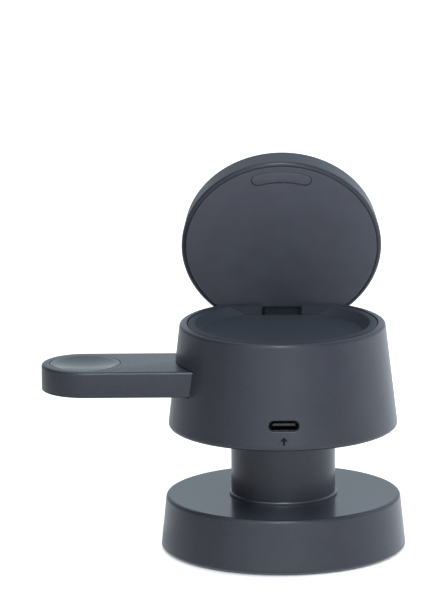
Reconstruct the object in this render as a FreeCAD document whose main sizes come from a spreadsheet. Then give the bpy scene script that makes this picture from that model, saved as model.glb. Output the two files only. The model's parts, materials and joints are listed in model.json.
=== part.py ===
import FreeCAD, Part
import os
import re
import Sketcher

# Four-in-one wireless charger: a weighted base, a column that swivels on it, a conical head with a
# charging tray, a round pad that folds down over the tray, and a side arm that slides into the head.
# Millimetres, +Z up, origin on the table under the swivel axis; the power inlet looks along -Y.

doc = FreeCAD.newDocument("wireless_charger")
sheet = doc.addObject("Spreadsheet::Sheet", "sizes")

SIZES = (
    ("base_foot_radius", 35.4, "base shell, outside at the skirt"),
    ("base_crown_radius", 33.85, "base shell, outside at the top"),
    ("base_height", 15.8, "top of the base above the table"),
    ("base_wall", 2.2, "base shell, side wall"),
    ("base_deck", 2.4, "base shell, top wall"),
    ("base_lift", 0.4, "skirt above the table"),
    ("base_edge", 1.0, "rounding of the base's top edge"),
    ("skirt_edge", 0.5, "rounding of the base's lower edge"),
    ("foot_pad_inset", 2.3, "rubber foot inside the skirt"),
    ("foot_pad_height", 1.2, "rubber foot"),
    ("base_plate_height", 1.6, "plate that closes the base"),
    ("base_boss_inset", 4.27, "base boss from the side wall beside the ballast"),
    ("base_boss_radius", 2.8, "screw boss in the base"),
    ("ballast_height", 7.5, "steel ballast"),
    ("ballast_bore", 9.2, "hole round the spindle nut"),
    ("ballast_gap", 0.4, "room round the ballast"),
    ("hub_radius", 8.0, "bearing hub under the base deck"),
    ("hub_height", 2.0, "bearing hub under the base deck"),
    ("swivel_ring_bore", 8.6, "slide ring under the column"),
    ("swivel_ring_inset", 1.2, "slide ring inside the column's outline"),
    ("swivel_ring_height", 0.9, "slide ring under the column"),
    ("swivel_ring_sink", 0.6, "depth of the ring's groove in the deck"),
    ("spindle_radius", 4.0, "swivel spindle"),
    ("spindle_flange_radius", 8.0, "flange of the spindle"),
    ("spindle_flange_height", 2.0, "flange of the spindle"),
    ("spindle_tail", 0.4, "spindle below its nut"),
    ("thrust_washer_radius", 6.5, "washer between hub and nut"),
    ("thrust_washer_height", 0.6, "washer between hub and nut"),
    ("nut_radius", 7.0, "spindle nut, across corners / 2"),
    ("nut_height", 2.1, "spindle nut"),
    ("column_radius", 15.05, "column, outside"),
    ("column_wall", 2.4, "column, side wall"),
    ("column_floor", 2.6, "column, bottom wall"),
    ("collar_proud", 0.55, "collar at the column's foot, beyond its side"),
    ("collar_height", 0.6, "collar at the column's foot"),
    ("collar_edge", 0.25, "rounding of the collar"),
    ("column_boss_inset", 2.1, "column boss from the column's side wall"),
    ("column_boss_radius", 2.6, "screw boss in the column"),
    ("column_boss_height", 9.0, "screw boss in the column"),
    ("neck_height", 20.0, "base deck to head bottom"),
    ("head_foot_radius", 33.25, "head shell, outside at the bottom"),
    ("head_crown_radius", 29.7, "head shell, outside at the top"),
    ("head_height", 30.6, "head shell"),
    ("head_wall", 2.0, "head shell, side wall"),
    ("head_deck", 1.8, "head shell, wall under the tray"),
    ("head_crown_edge", 1.0, "rounding of the head's top edge"),
    ("head_foot_edge", 1.2, "rounding of the head's bottom edge"),
    ("head_plate_height", 2.0, "plate that closes the head"),
    ("head_boss_sink", 0.2, "head boss let into the side wall"),
    ("head_boss_radius", 3.2, "screw boss in the head"),
    ("head_boss_height", 7.2, "screw boss in the head"),
    ("tray_rim", 2.3, "rim of the shell round the tray insert"),
    ("tray_depth", 3.5, "recess for the tray insert"),
    ("land_reach", 3.3, "tray's straight edge in front of the hinge axis"),
    ("insert_floor", 1.0, "tray insert under its dish"),
    ("insert_sink", 0.1, "insert below the rim"),
    ("land_sink", 0.25, "land let into the tray's rim"),
    ("dish_rim", 2.2, "tray insert round its dish"),
    ("dish_slope", 2.2, "side of the dish, across"),
    ("dish_lip_edge", 0.6, "rounding of the dish's lip"),
    ("tray_coil_bore", 8.0, "charging coil under the tray"),
    ("tray_coil_gap", 0.3, "ferrite to the hinge block"),
    ("ferrite_border", 0.4, "ferrite beyond its coil"),
    ("coil_height", 0.9, "winding of the tray and pad coils"),
    ("ferrite_height", 0.8, "ferrite sheet of the tray and pad"),
    ("port_height", 7.4, "middle of the inlet above the head's bottom"),
    ("port_radius", 1.85, "half height of the opening in the wall"),
    ("port_half_flat", 2.85, "half of the opening's straight length"),
    ("port_recess", 0.9, "socket mouth behind the wall's outside"),
    ("socket_radius", 1.6, "socket shell, half height"),
    ("socket_half_flat", 2.87, "socket shell, half of its straight length"),
    ("socket_length", 7.3, "socket shell"),
    ("socket_wall", 0.3, "socket shell, sheet metal"),
    ("tongue_half_width", 3.3, "contact tongue in the socket"),
    ("tongue_height", 0.7, "contact tongue in the socket"),
    ("tongue_recess", 1.0, "tongue behind the socket's mouth"),
    ("board_half_width", 12.0, "main board"),
    ("board_back_gap", 1.85, "board's back edge to the column's screws"),
    ("board_thickness", 1.2, "main board and pad board"),
    ("board_front_inset", 5.2, "board edge behind the wall's outside"),
    ("board_post_radius", 2.2, "post under the main board"),
    ("board_post_inset", 2.6, "post to the board's edge"),
    ("chip_height", 1.6, "parts on the main board"),
    ("arm_drop", 10.8, "arm's top below the head's rim"),
    ("arm_thickness", 7.6, "arm"),
    ("arm_half_width", 12.6, "arm"),
    ("arm_offset", 3.9, "arm's middle line, towards the inlet side"),
    ("arm_reach", 57.0, "puck's middle from the swivel axis"),
    ("arm_inner_end", 13.0, "inner end of the arm from the swivel axis"),
    ("arm_wall", 1.6, "arm shell, side wall"),
    ("arm_roof", 1.4, "arm shell, top wall"),
    ("arm_edge", 0.8, "rounding of the arm's upper edges"),
    ("arm_under_edge", 0.4, "rounding of the arm's lower edges"),
    ("arm_cover_height", 1.4, "plate that closes the arm"),
    ("arm_boss_radius", 2.2, "screw boss in the arm"),
    ("arm_boss_inset", 4.0, "screw boss from the arm's side"),
    ("arm_boss_inner", 19.0, "inner pair of bosses from the swivel axis"),
    ("arm_boss_outer", 43.0, "outer pair of bosses from the swivel axis"),
    ("arm_screw_bite", 3.0, "arm screw in its boss"),
    ("arm_gap", 0.25, "room round the arm in its slot and guide"),
    ("guide_floor", 2.0, "arm guide, floor"),
    ("guide_wall", 1.8, "arm guide, sides and roof"),
    ("guide_gap", 0.83, "arm guide's corners to the head's side wall"),
    ("guide_leg_radius", 2.4, "legs of the arm guide"),
    ("guide_leg_reach", 17.0, "legs from the swivel axis, along the arm"),
    ("guide_leg_spread", 8.0, "legs from the arm's middle line"),
    ("puck_gap", 0.2, "puck's flange to the arm's side wall"),
    ("puck_flange", 0.6, "puck's flange under the arm's roof"),
    ("puck_height", 3.3, "charging puck"),
    ("puck_lip", 1.0, "puck's rim round its dish"),
    ("puck_dish_curve", 45.0, "radius of curvature of the dish"),
    ("puck_coil_bore", 4.4, "coil under the puck"),
    ("puck_coil_inset", 0.4, "puck coil inside the puck"),
    ("puck_coil_height", 0.8, "coil under the puck"),
    ("puck_ferrite_bore", 3.9, "ferrite under the puck coil"),
    ("puck_ferrite_height", 0.7, "ferrite under the puck coil"),
    ("puck_magnet_radius", 3.6, "holding magnet"),
    ("arm_board_half_width", 5.5, "board in the arm"),
    ("arm_board_post", 0.9, "ribs under the arm board"),
    ("arm_board_thickness", 1.0, "board in the arm"),
    ("pad_lap", 0.5, "pad's back edge inside the head's crown"),
    ("pad_front_inset", 1.0, "pad's front edge inside its back edge"),
    ("pad_thickness", 7.5, "pad"),
    ("pad_lean", 21.5, "lean of the open pad from upright, degrees"),
    ("pad_back_edge", 0.9, "rounding of the pad's back edge"),
    ("pad_front_edge", 0.6, "rounding of the pad's front edge"),
    ("pad_rim", 1.4, "pad shell round its back cover"),
    ("pad_cover_height", 1.6, "back cover of the pad"),
    ("pad_ledge", 0.9, "ledge of the pad shell under the back cover"),
    ("pad_front_wall", 0.9, "pad shell behind the face"),
    ("face_rim", 1.6, "pad shell round its face"),
    ("face_height", 0.6, "soft face of the pad"),
    ("magnet_gap", 0.5, "magnets to the pad's side wall"),
    ("magnet_width", 3.8, "ring of magnets"),
    ("magnet_height", 1.3, "ring of magnets"),
    ("magnet_split", 0.5, "gap between magnets"),
    ("pad_coil_bore", 9.5, "charging coil of the pad"),
    ("pad_coil_gap", 1.2, "pad coil inside the magnets"),
    ("pad_board_inset", 1.0, "pad board inside its ferrite"),
    ("pad_board_gap", 2.1, "pad board to the thickening at the hinge"),
    ("pad_board_tab_half_width", 7.0, "tab of the pad board under the key"),
    ("tab_border", 0.05, "pad board's tab beyond the switch"),
    ("pad_post_radius", 1.8, "post under the pad board"),
    ("pad_post_circle", 14.0, "circle of the posts under the pad board"),
    ("key_inset", 3.65, "key's middle line inside the back cover's edge"),
    ("key_half_height", 1.75, "half of the key's width across its line"),
    ("key_half_angle", 16.5, "half of the key's arc, degrees"),
    ("key_gap", 0.15, "room round the key"),
    ("key_flange", 0.6, "flange of the key behind the cover"),
    ("key_flange_height", 0.4, "flange of the key behind the cover"),
    ("key_travel", 0.4, "travel of the key"),
    ("switch_half_width", 2.6, "key switch"),
    ("switch_half_depth", 0.7, "key switch"),
    ("hinge_inset", 5.3, "hinge axis inside the pad's back edge"),
    ("hinge_drop", 8.66, "hinge axis from the pad's back"),
    ("hinge_arm_half_width", 5.0, "hinge arm"),
    ("hinge_arm_half_depth", 2.5, "hinge arm"),
    ("hinge_barrel_radius", 3.2, "eye of the hinge arm"),
    ("hinge_foot_half_width", 8.0, "foot of the hinge arm in the cover"),
    ("hinge_foot_half_depth", 2.5, "foot of the hinge arm in the cover"),
    ("hinge_foot_height", 1.4, "foot of the hinge arm in the cover"),
    ("hinge_foot_shift", 0.5, "foot towards the pad's middle"),
    ("hinge_boss_height", 2.6, "thickening of the cover under the foot"),
    ("hinge_boss_border", 1.2, "thickening of the cover round the foot"),
    ("hinge_boss_gap", 0.4, "thickening to the pad's side wall"),
    ("hinge_screw_spread", 6.4, "hinge screws from the middle"),
    ("pin_radius", 1.5, "hinge pin"),
    ("hinge_washer_radius", 3.0, "friction washer"),
    ("hinge_washer_height", 0.6, "friction washer"),
    ("hinge_cheek", 3.7, "wall beside the hinge pocket"),
    ("hinge_block_depth", 5.0, "hinge block in front of and below the axis"),
    ("hinge_pocket_gap", 0.3, "room round the hinge arm's eye"),
    ("hinge_pocket_reach", 4.6, "pocket behind the axis, up to the stop lip"),
    ("hinge_relief_gap", 0.35, "room between the head's back edge and the pad"),
    ("hinge_relief_half_width", 17.5, "rounded stretch of the head's back edge"),
    ("stop_gap", 0.16, "hinge arm to its stop when open"),
    ("fold_gap", 0.3, "folded pad above the head's rim"),
    ("screw_radius", 1.0, "shank of a screw"),
    ("screw_head_radius", 2.0, "countersunk head of a screw"),
    ("screw_head_height", 1.0, "countersunk head of a screw"),
    ("screw_socket_radius", 0.9, "hexagon socket of a screw, across corners / 2"),
    ("screw_socket_depth", 0.6, "hexagon socket of a screw"),
    ("screw_bite", 4.5, "screw in its boss"),
    ("bite_gap", 0.4, "screw's tip short of the far face"),
    ("running_gap", 0.05, "shaft in a bore that it turns in"),
    ("press_gap", 0.03, "pin or screw in a bore that holds it"),
    ("seat_gap", 0.1, "round an inset plate or lid"),
    ("column_gap", 0.35, "column above the base deck"),
    ("thrust_gap", 0.1, "end play of the spindle"),
    ("tool_overrun", 1.0, "cutting tool beyond what it cuts"),
)

for row, (alias, size, meaning) in enumerate(SIZES, start=1):
    sheet.set(f"A{row}", meaning)
    sheet.set(f"B{row}", str(size))
    sheet.setAlias(f"B{row}", alias)
doc.recompute()

X_AXIS = FreeCAD.Vector(1, 0, 0)
Y_AXIS = FreeCAD.Vector(0, 1, 0)
Z_AXIS = FreeCAD.Vector(0, 0, 1)
ORIGIN = FreeCAD.Vector(0, 0, 0)
TOUCH = 1e-4
WORD = re.compile(r"\b[a-z]+(?:_[a-z]+)+\b")
nodes = []


def value(formula):
    """Number that a formula on the sheet gives now."""
    result = sheet.evalExpression(str(formula))
    return float(getattr(result, "Value", result))


def tie(thing, prop, formula):
    """Bind a property to a formula whose words are cells of the sheet."""
    thing.setExpression(prop, WORD.sub(lambda word: f"sizes.{word.group()}", str(formula)))


def place(thing, x="0", y="0", z="0", turn=None):
    """Bind where a thing stands; turn is an axis and an angle formula."""
    if turn:
        axis, angle = turn
        thing.Placement = FreeCAD.Placement(ORIGIN, FreeCAD.Rotation(axis, value(angle)))
        tie(thing, "Placement.Rotation.Angle", angle)
    for prop, formula in (("x", x), ("y", y), ("z", z)):
        tie(thing, f"Placement.Base.{prop}", formula)
    return thing


def block(x, y, z):
    """Box from (low, high) formulas along each axis."""
    thing = doc.addObject("Part::Box", "block")
    for prop, (low, high) in (("Length", x), ("Width", y), ("Height", z)):
        tie(thing, prop, f"({high}) - ({low})")
    return place(thing, x[0], y[0], z[0])


def rod(radius, low, high, x="0", y="0"):
    """Upright cylinder."""
    thing = doc.addObject("Part::Cylinder", "rod")
    tie(thing, "Radius", radius)
    tie(thing, "Height", f"({high}) - ({low})")
    return place(thing, x, y, low)


def cross_rod(radius, low, high, y, z):
    """Cylinder along X."""
    thing = doc.addObject("Part::Cylinder", "cross_rod")
    tie(thing, "Radius", radius)
    tie(thing, "Height", f"({high}) - ({low})")
    return place(thing, low, y, z, (Y_AXIS, "90"))


def deep_rod(radius, low, high, x, z):
    """Cylinder along Y."""
    thing = doc.addObject("Part::Cylinder", "deep_rod")
    tie(thing, "Radius", radius)
    tie(thing, "Height", f"({high}) - ({low})")
    return place(thing, x, low, z, (X_AXIS, "-90"))


def fuse(*things):
    """One solid from things that overlap or meet."""
    joined = doc.addObject("Part::MultiFuse", "joined")
    joined.Shapes = list(things)
    joined.Refine = True
    return joined


def cut(thing, *tools):
    """Thing less the tools."""
    trimmed = doc.addObject("Part::Cut", "trimmed")
    trimmed.Base = thing
    trimmed.Tool = tools[0] if len(tools) == 1 else fuse(*tools)
    return trimmed


def common(thing, other):
    """What two things share."""
    shared = doc.addObject("Part::Common", "shared")
    shared.Base = thing
    shared.Tool = other
    return shared


def group(things):
    """Separate solids in one node."""
    kept = doc.addObject("Part::Compound", "group")
    kept.Links = list(things)
    return kept


def turned(profile):
    """Solid of revolution about Z from corner formulas (radius, height)."""
    body = doc.addObject("PartDesign::Body", "turned")
    sketch = body.newObject("Sketcher::SketchObject", "profile")
    plane = next(item for item in body.Origin.OriginFeatures if item.Role == "XZ_Plane")
    sketch.AttachmentSupport = [(plane, "")]
    sketch.MapMode = "FlatFace"
    points = [FreeCAD.Vector(value(radius), value(height), 0) for radius, height in profile]
    following = [(index + 1) % len(points) for index in range(len(points))]
    for index, after in enumerate(following):
        sketch.addGeometry(Part.LineSegment(points[index], points[after]), False)
    for index, after in enumerate(following):
        sketch.addConstraint(Sketcher.Constraint("Coincident", index, 2, after, 1))
    for index, corner in enumerate(profile):
        for kind, axis, formula in (("DistanceX", -2, corner[0]), ("DistanceY", -1, corner[1])):
            if formula == "0":
                sketch.addConstraint(Sketcher.Constraint("PointOnObject", index, 1, axis))
                continue
            size = Sketcher.Constraint(kind, -1, 1, index, 1, value(formula))
            number = sketch.addConstraint(size)
            tie(sketch, f"Constraints[{number}]", formula)
    turn = body.newObject("PartDesign::Revolution", "turn")
    turn.Profile = sketch
    turn.ReferenceAxis = (sketch, ["V_Axis"])
    turn.Angle = 360
    doc.recompute()
    return body


def ring(bore, radius, low, high):
    """Flat ring about Z."""
    return turned(((bore, low), (radius, low), (radius, high), (bore, high)))


def disc(radius, low, high):
    """Flat disc about Z."""
    return turned((("0", low), (radius, low), (radius, high), ("0", high)))


def round_rings(body, sizes):
    """Round circular edges of a turned body; sizes are (radius, height, edge size) formulas."""
    for radius, height, edge_size in sizes:
        last = body.Tip
        names = []
        for number, edge in enumerate(last.Shape.Edges, start=1):
            curve = edge.Curve
            if not isinstance(curve, Part.Circle):
                continue
            off = abs(curve.Radius - value(radius)) + abs(curve.Center.z - value(height))
            if off < TOUCH:
                names.append(f"Edge{number}")
        edge_feature = body.newObject("PartDesign::Fillet", "edge")
        edge_feature.Base = (last, names)
        tie(edge_feature, "Radius", edge_size)
        doc.recompute()
    return body


def round_level_edges(thing, levels):
    """Round every edge that lies flat at one of the levels; levels are (height, edge size) formulas."""
    doc.recompute()
    edges = []
    for number, edge in enumerate(thing.Shape.Edges, start=1):
        box = edge.BoundBox
        for height, edge_size in levels:
            if abs(box.ZMin - value(height)) + abs(box.ZMax - value(height)) < TOUCH:
                edges.append((number, value(edge_size), value(edge_size)))
    rounded = doc.addObject("Part::Fillet", "rounded")
    rounded.Base = thing
    rounded.Edges = edges
    return rounded


def node(label, thing):
    """Name a finished sub-part."""
    thing.Label = label
    nodes.append(thing)
    return thing


def screw(x, y, z, bite, up=False):
    """Countersunk screw with a hexagon socket, its head flush at z, pointing down or up."""
    flat = rod("screw_radius", f"-({bite})", "-screw_head_height")
    head = doc.addObject("Part::Cone", "head")
    tie(head, "Radius1", "screw_radius")
    tie(head, "Radius2", "screw_head_radius")
    tie(head, "Height", "screw_head_height")
    place(head, z="-screw_head_height")
    socket = doc.addObject("Part::Prism", "socket")
    socket.Polygon = 6
    tie(socket, "Circumradius", "screw_socket_radius")
    tie(socket, "Height", "screw_socket_depth")
    place(socket, z="-screw_socket_depth")
    return place(cut(fuse(flat, head), socket), x, y, z, (X_AXIS, "180") if up else None)


def screw_seat(x, y, z, bite, up=False):
    """Room for a screw: its countersink and its bore."""
    bore = rod("screw_radius + press_gap", f"-({bite}) - seat_gap", "-screw_head_height")
    sink = doc.addObject("Part::Cone", "sink")
    tie(sink, "Radius1", "screw_radius + press_gap")
    tie(sink, "Radius2", "screw_head_radius + press_gap")
    tie(sink, "Height", "screw_head_height")
    place(sink, z="-screw_head_height")
    return place(fuse(bore, sink), x, y, z, (X_AXIS, "180") if up else None)


def around(count, first_angle, circle):
    """Places (x, y) of evenly spaced items on a circle, as formulas."""
    angles = [first_angle + 360.0 * index / count for index in range(count)]
    return [(f"({circle}) * cos({angle})", f"({circle}) * sin({angle})") for angle in angles]


# Rings of screws and posts: how many, and the angle of the first in degrees
BOSS_COUNT = 4
BOSS_ANGLE = 45.0
SPINDLE_SCREW_COUNT = 3
SPINDLE_SCREW_ANGLE = 30.0
COLUMN_SCREW_COUNT = 3
COLUMN_SCREW_ANGLE = 90.0
PAD_POST_COUNT = 3
PAD_POST_ANGLE = 30.0

# Heights and radii that several pieces share
PLATE_TOP = "(foot_pad_height + base_plate_height)"
DECK_UNDER = "(base_height - base_deck)"
HUB_UNDER = f"({DECK_UNDER} - hub_height)"
BASE_SLOPE = "((base_foot_radius - base_crown_radius) / (base_height - base_lift))"
COLUMN_FOOT = "(base_height + column_gap)"
COLUMN_FLOOR_TOP = f"({COLUMN_FOOT} + column_floor)"
HEAD_FOOT = "(base_height + neck_height)"
HEAD_TOP = f"({HEAD_FOOT} + head_height)"
HEAD_SLOPE = "((head_foot_radius - head_crown_radius) / head_height)"
HEAD_PLATE_TOP = f"({HEAD_FOOT} + head_plate_height)"
TRAY_FLOOR = f"({HEAD_TOP} - tray_depth)"
HEAD_DECK_UNDER = f"({TRAY_FLOOR} - head_deck)"
TRAY_RADIUS = "(head_crown_radius - tray_rim)"
PAD_BACK = "(head_crown_radius - pad_lap)"
PAD_COVER = f"({PAD_BACK} - pad_rim)"
PAD_INNER = f"({PAD_COVER} - pad_ledge)"
HINGE_Y = f"({PAD_BACK} - hinge_inset)"
HINGE_Z = f"({HEAD_TOP} + fold_gap - hinge_drop)"
TRAY_LAND = f"({HINGE_Y} - land_reach)"
ARM_HIGH = f"({HEAD_TOP} - arm_drop)"
ARM_LOW = f"({ARM_HIGH} - arm_thickness)"
ARM_FRONT = "(-arm_offset - arm_half_width)"
ARM_BACK = "(-arm_offset + arm_half_width)"
FULL_BITE = "screw_bite + base_plate_height"
HEAD_BITE = "screw_bite + head_plate_height"


def base_inner_radius(height):
    return f"(base_foot_radius - base_wall - {BASE_SLOPE} * ({height} - base_lift))"


def head_outer_radius(rise):
    return f"(head_foot_radius - {HEAD_SLOPE} * ({rise}))"


# Base shell: moulded cup with a bearing hub under its deck and four screw bosses
ballast_top = f"({PLATE_TOP} + ballast_height)"
beside_ballast = f"min({base_inner_radius(PLATE_TOP)}; {base_inner_radius(ballast_top)})"
base_bosses = around(BOSS_COUNT, BOSS_ANGLE, f"{beside_ballast} - base_boss_inset")
base_cup = turned((
    ("spindle_radius + running_gap", "base_height"),
    ("base_crown_radius", "base_height"),
    ("base_foot_radius", "base_lift"),
    (base_inner_radius("base_lift"), "base_lift"),
    (base_inner_radius(DECK_UNDER), DECK_UNDER),
    ("hub_radius", DECK_UNDER),
    ("hub_radius", HUB_UNDER),
    ("spindle_radius + running_gap", HUB_UNDER),
))
round_rings(base_cup, (
    ("base_crown_radius", "base_height", "base_edge"),
    ("base_foot_radius", "base_lift", "skirt_edge"),
))
base_solid = fuse(base_cup, *[rod("base_boss_radius", PLATE_TOP, f"{DECK_UNDER} + base_deck / 2", x, y)
                              for x, y in base_bosses])
ring_groove = ring("swivel_ring_bore - seat_gap", "column_radius - swivel_ring_inset + seat_gap",
                   "base_height - swivel_ring_sink", "base_height + swivel_ring_height")
base_seats = [screw_seat(x, y, "foot_pad_height", FULL_BITE, up=True) for x, y in base_bosses]
node("base_shell", cut(base_solid, ring_groove, *base_seats))

# Slide ring: plastic ring in the deck's groove that carries the column
ring_low = "(base_height - swivel_ring_sink)"
node("swivel_ring", ring("swivel_ring_bore", "column_radius - swivel_ring_inset",
                         ring_low, f"{ring_low} + swivel_ring_height"))

# Ballast: steel disc on the base plate, notched round the bosses
ballast_ring = turned((
    ("ballast_bore", PLATE_TOP),
    (f"{base_inner_radius(PLATE_TOP)} - ballast_gap", PLATE_TOP),
    (f"{base_inner_radius(ballast_top)} - ballast_gap", ballast_top),
    ("ballast_bore", ballast_top),
))
node("ballast", cut(ballast_ring, *[
    rod("base_boss_radius + ballast_gap",
        f"{PLATE_TOP} - tool_overrun", f"{ballast_top} + tool_overrun", x, y) for x, y in base_bosses]))

# Base plate, its screws and the rubber foot below
base_disc = turned((
    ("0", "foot_pad_height"),
    (f"{base_inner_radius('foot_pad_height')} - seat_gap", "foot_pad_height"),
    (f"{base_inner_radius(PLATE_TOP)} - seat_gap", PLATE_TOP),
    ("0", PLATE_TOP),
))
node("base_plate", cut(base_disc, *[screw_seat(x, y, "foot_pad_height", FULL_BITE, up=True)
                                    for x, y in base_bosses]))
node("base_screws", group([screw(x, y, "foot_pad_height", FULL_BITE, up=True) for x, y in base_bosses]))
node("foot_pad", disc(f"{base_inner_radius('base_lift')} - foot_pad_inset", "0", "foot_pad_height"))

# Spindle: flanged steel shaft screwed to the column's floor, held under the hub by a washer and a nut
washer_top = f"({HUB_UNDER} - thrust_gap)"
nut_top = f"({washer_top} - thrust_washer_height)"
nut_low = f"({nut_top} - nut_height)"
flange_top = f"({COLUMN_FLOOR_TOP} + spindle_flange_height)"
spindle_blank = turned((
    ("0", f"{nut_low} - spindle_tail"),
    ("spindle_radius", f"{nut_low} - spindle_tail"),
    ("spindle_radius", COLUMN_FLOOR_TOP),
    ("spindle_flange_radius", COLUMN_FLOOR_TOP),
    ("spindle_flange_radius", flange_top),
    ("0", flange_top),
))
spindle_screws = around(SPINDLE_SCREW_COUNT, SPINDLE_SCREW_ANGLE,
                        "(spindle_radius + spindle_flange_radius) / 2 - seat_gap")
spindle_bite = "spindle_flange_height + column_floor - bite_gap"
node("spindle", cut(spindle_blank, *[screw_seat(x, y, flange_top, spindle_bite) for x, y in spindle_screws]))
node("spindle_screws", group([screw(x, y, flange_top, spindle_bite) for x, y in spindle_screws]))
node("thrust_washer", ring("spindle_radius + press_gap", "thrust_washer_radius", nut_top, washer_top))
nut_blank = doc.addObject("Part::Prism", "nut_blank")
nut_blank.Polygon = 6
tie(nut_blank, "Circumradius", "nut_radius")
tie(nut_blank, "Height", "nut_height")
place(nut_blank, z=nut_low)
node("spindle_nut", cut(nut_blank, rod(
    "spindle_radius + press_gap", f"{nut_low} - tool_overrun", f"{nut_top} + tool_overrun")))

# Column: moulded tube with a collar round its foot, a floor and three screw bosses at its top
COLUMN_BOSS_CIRCLE = "(column_radius - column_wall - column_boss_inset)"
column_bosses = around(COLUMN_SCREW_COUNT, COLUMN_SCREW_ANGLE, COLUMN_BOSS_CIRCLE)
COLLAR_RADIUS = "(column_radius + collar_proud)"
COLLAR_TOP = f"({COLUMN_FOOT} + collar_height)"
column_tube = turned((
    ("spindle_radius + seat_gap", COLUMN_FOOT),
    (COLLAR_RADIUS, COLUMN_FOOT),
    (COLLAR_RADIUS, COLLAR_TOP),
    ("column_radius", COLLAR_TOP),
    ("column_radius", HEAD_FOOT),
    ("column_radius - column_wall", HEAD_FOOT),
    ("column_radius - column_wall", COLUMN_FLOOR_TOP),
    ("spindle_radius + seat_gap", COLUMN_FLOOR_TOP),
))
round_rings(column_tube, ((COLLAR_RADIUS, COLLAR_TOP, "collar_edge"),))
column_solid = fuse(column_tube, *[
    rod("column_boss_radius", f"{HEAD_FOOT} - column_boss_height", HEAD_FOOT, x, y)
    for x, y in column_bosses])
node("column", cut(
    column_solid,
    *[screw_seat(x, y, HEAD_PLATE_TOP, HEAD_BITE) for x, y in column_bosses],
    *[screw_seat(x, y, flange_top, spindle_bite) for x, y in spindle_screws]))
node("column_screws", group([screw(x, y, HEAD_PLATE_TOP, HEAD_BITE) for x, y in column_bosses]))

# Head shell: moulded cone with a tray recess, a hinge block at its back, the arm's slot and the inlet
plate_room = f"({head_outer_radius('head_plate_height')} - head_wall)"
head_bosses = around(BOSS_COUNT, BOSS_ANGLE, f"{plate_room} + head_boss_sink - head_boss_radius")
deck_rise = f"({HEAD_DECK_UNDER} - {HEAD_FOOT})"
head_cone = turned((
    ("head_foot_radius", HEAD_FOOT),
    ("head_crown_radius", HEAD_TOP),
    (TRAY_RADIUS, HEAD_TOP),
    (TRAY_RADIUS, TRAY_FLOOR),
    ("0", TRAY_FLOOR),
    ("0", HEAD_DECK_UNDER),
    (f"{head_outer_radius(deck_rise)} - head_wall", HEAD_DECK_UNDER),
    ("head_foot_radius - head_wall", HEAD_FOOT),
))
round_rings(head_cone, (
    ("head_crown_radius", HEAD_TOP, "head_crown_edge"),
    ("head_foot_radius", HEAD_FOOT, "head_foot_edge"),
))
land = common(
    block((f"-{TRAY_RADIUS}", TRAY_RADIUS), (TRAY_LAND, "head_foot_radius"), (TRAY_FLOOR, HEAD_TOP)),
    rod(f"{TRAY_RADIUS} + land_sink", TRAY_FLOOR, HEAD_TOP))
inside_cone = doc.addObject("Part::Cone", "inside_cone")
tie(inside_cone, "Radius1", "head_foot_radius - head_wall / 2")
tie(inside_cone, "Radius2", "head_crown_radius - head_wall / 2")
tie(inside_cone, "Height", "head_height")
place(inside_cone, z=HEAD_FOOT)
POCKET_HALF = "(hinge_arm_half_width + hinge_washer_height + 2 * seat_gap)"
BLOCK_HALF = f"({POCKET_HALF} + hinge_cheek)"
hinge_block = common(
    block((f"-{BLOCK_HALF}", BLOCK_HALF), (f"{HINGE_Y} - hinge_block_depth", "head_foot_radius"),
          (f"{HINGE_Z} - hinge_block_depth", f"{TRAY_FLOOR}")),
    inside_cone)
head_solid = fuse(head_cone, land, hinge_block, *[
    rod("head_boss_radius", HEAD_PLATE_TOP, f"{HEAD_PLATE_TOP} + head_boss_height", x, y)
    for x, y in head_bosses])
arm_slot = block(
    ("-head_foot_radius - tool_overrun", "-arm_inner_end"),
    (f"{ARM_FRONT} - arm_gap", f"{ARM_BACK} + arm_gap"),
    (f"{ARM_LOW} - arm_gap", f"{ARM_HIGH} + arm_gap"))
PORT_Z = f"({HEAD_FOOT} + port_height)"
PORT_WALL = head_outer_radius("port_height")


def stadium_rod(radius, half_flat, low, high, z):
    """Flat-sided rod with round ends, along Y."""
    return fuse(
        deep_rod(radius, low, high, f"-({half_flat})", z),
        deep_rod(radius, low, high, half_flat, z),
        block((f"-({half_flat})", half_flat), (low, high), (f"{z} - ({radius})", f"{z} + ({radius})")))


port_hole = stadium_rod("port_radius", "port_half_flat", "-head_foot_radius - tool_overrun",
                        f"-{PORT_WALL} + head_wall + tool_overrun", PORT_Z)
POCKET_FLOOR = f"({HINGE_Z} - hinge_barrel_radius - hinge_pocket_gap)"
POCKET_FRONT = f"({HINGE_Y} - hinge_barrel_radius - hinge_pocket_gap)"
LIP_Y = f"({HINGE_Y} + hinge_pocket_reach)"
STOP_LIP = (f"({HINGE_Z} + hinge_pocket_reach * tan(pad_lean)"
            " - hinge_arm_half_depth / cos(pad_lean) - stop_gap)")
over_head = f"{HEAD_TOP} + tool_overrun"
past_head = "head_foot_radius + tool_overrun"
pocket = block((f"-{POCKET_HALF}", POCKET_HALF), (POCKET_FRONT, LIP_Y), (POCKET_FLOOR, over_head))
pocket_mouth = block((f"-{POCKET_HALF}", POCKET_HALF), (LIP_Y, past_head), (STOP_LIP, over_head))
pin_bore = cross_rod("pin_radius + press_gap",
                     f"-{BLOCK_HALF} - tool_overrun", f"{BLOCK_HALF} + tool_overrun", HINGE_Y, HINGE_Z)
relief = cut(
    block(("-hinge_relief_half_width", "hinge_relief_half_width"),
          (HINGE_Y, past_head), (HINGE_Z, over_head)),
    cross_rod("hinge_drop - hinge_relief_gap", "-hinge_relief_half_width - tool_overrun",
              "hinge_relief_half_width + tool_overrun", HINGE_Y, HINGE_Z))
node("head_shell", cut(
    head_solid, arm_slot, port_hole, pocket, pocket_mouth, pin_bore, relief,
    *[screw_seat(x, y, HEAD_FOOT, HEAD_BITE, up=True) for x, y in head_bosses]))

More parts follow.
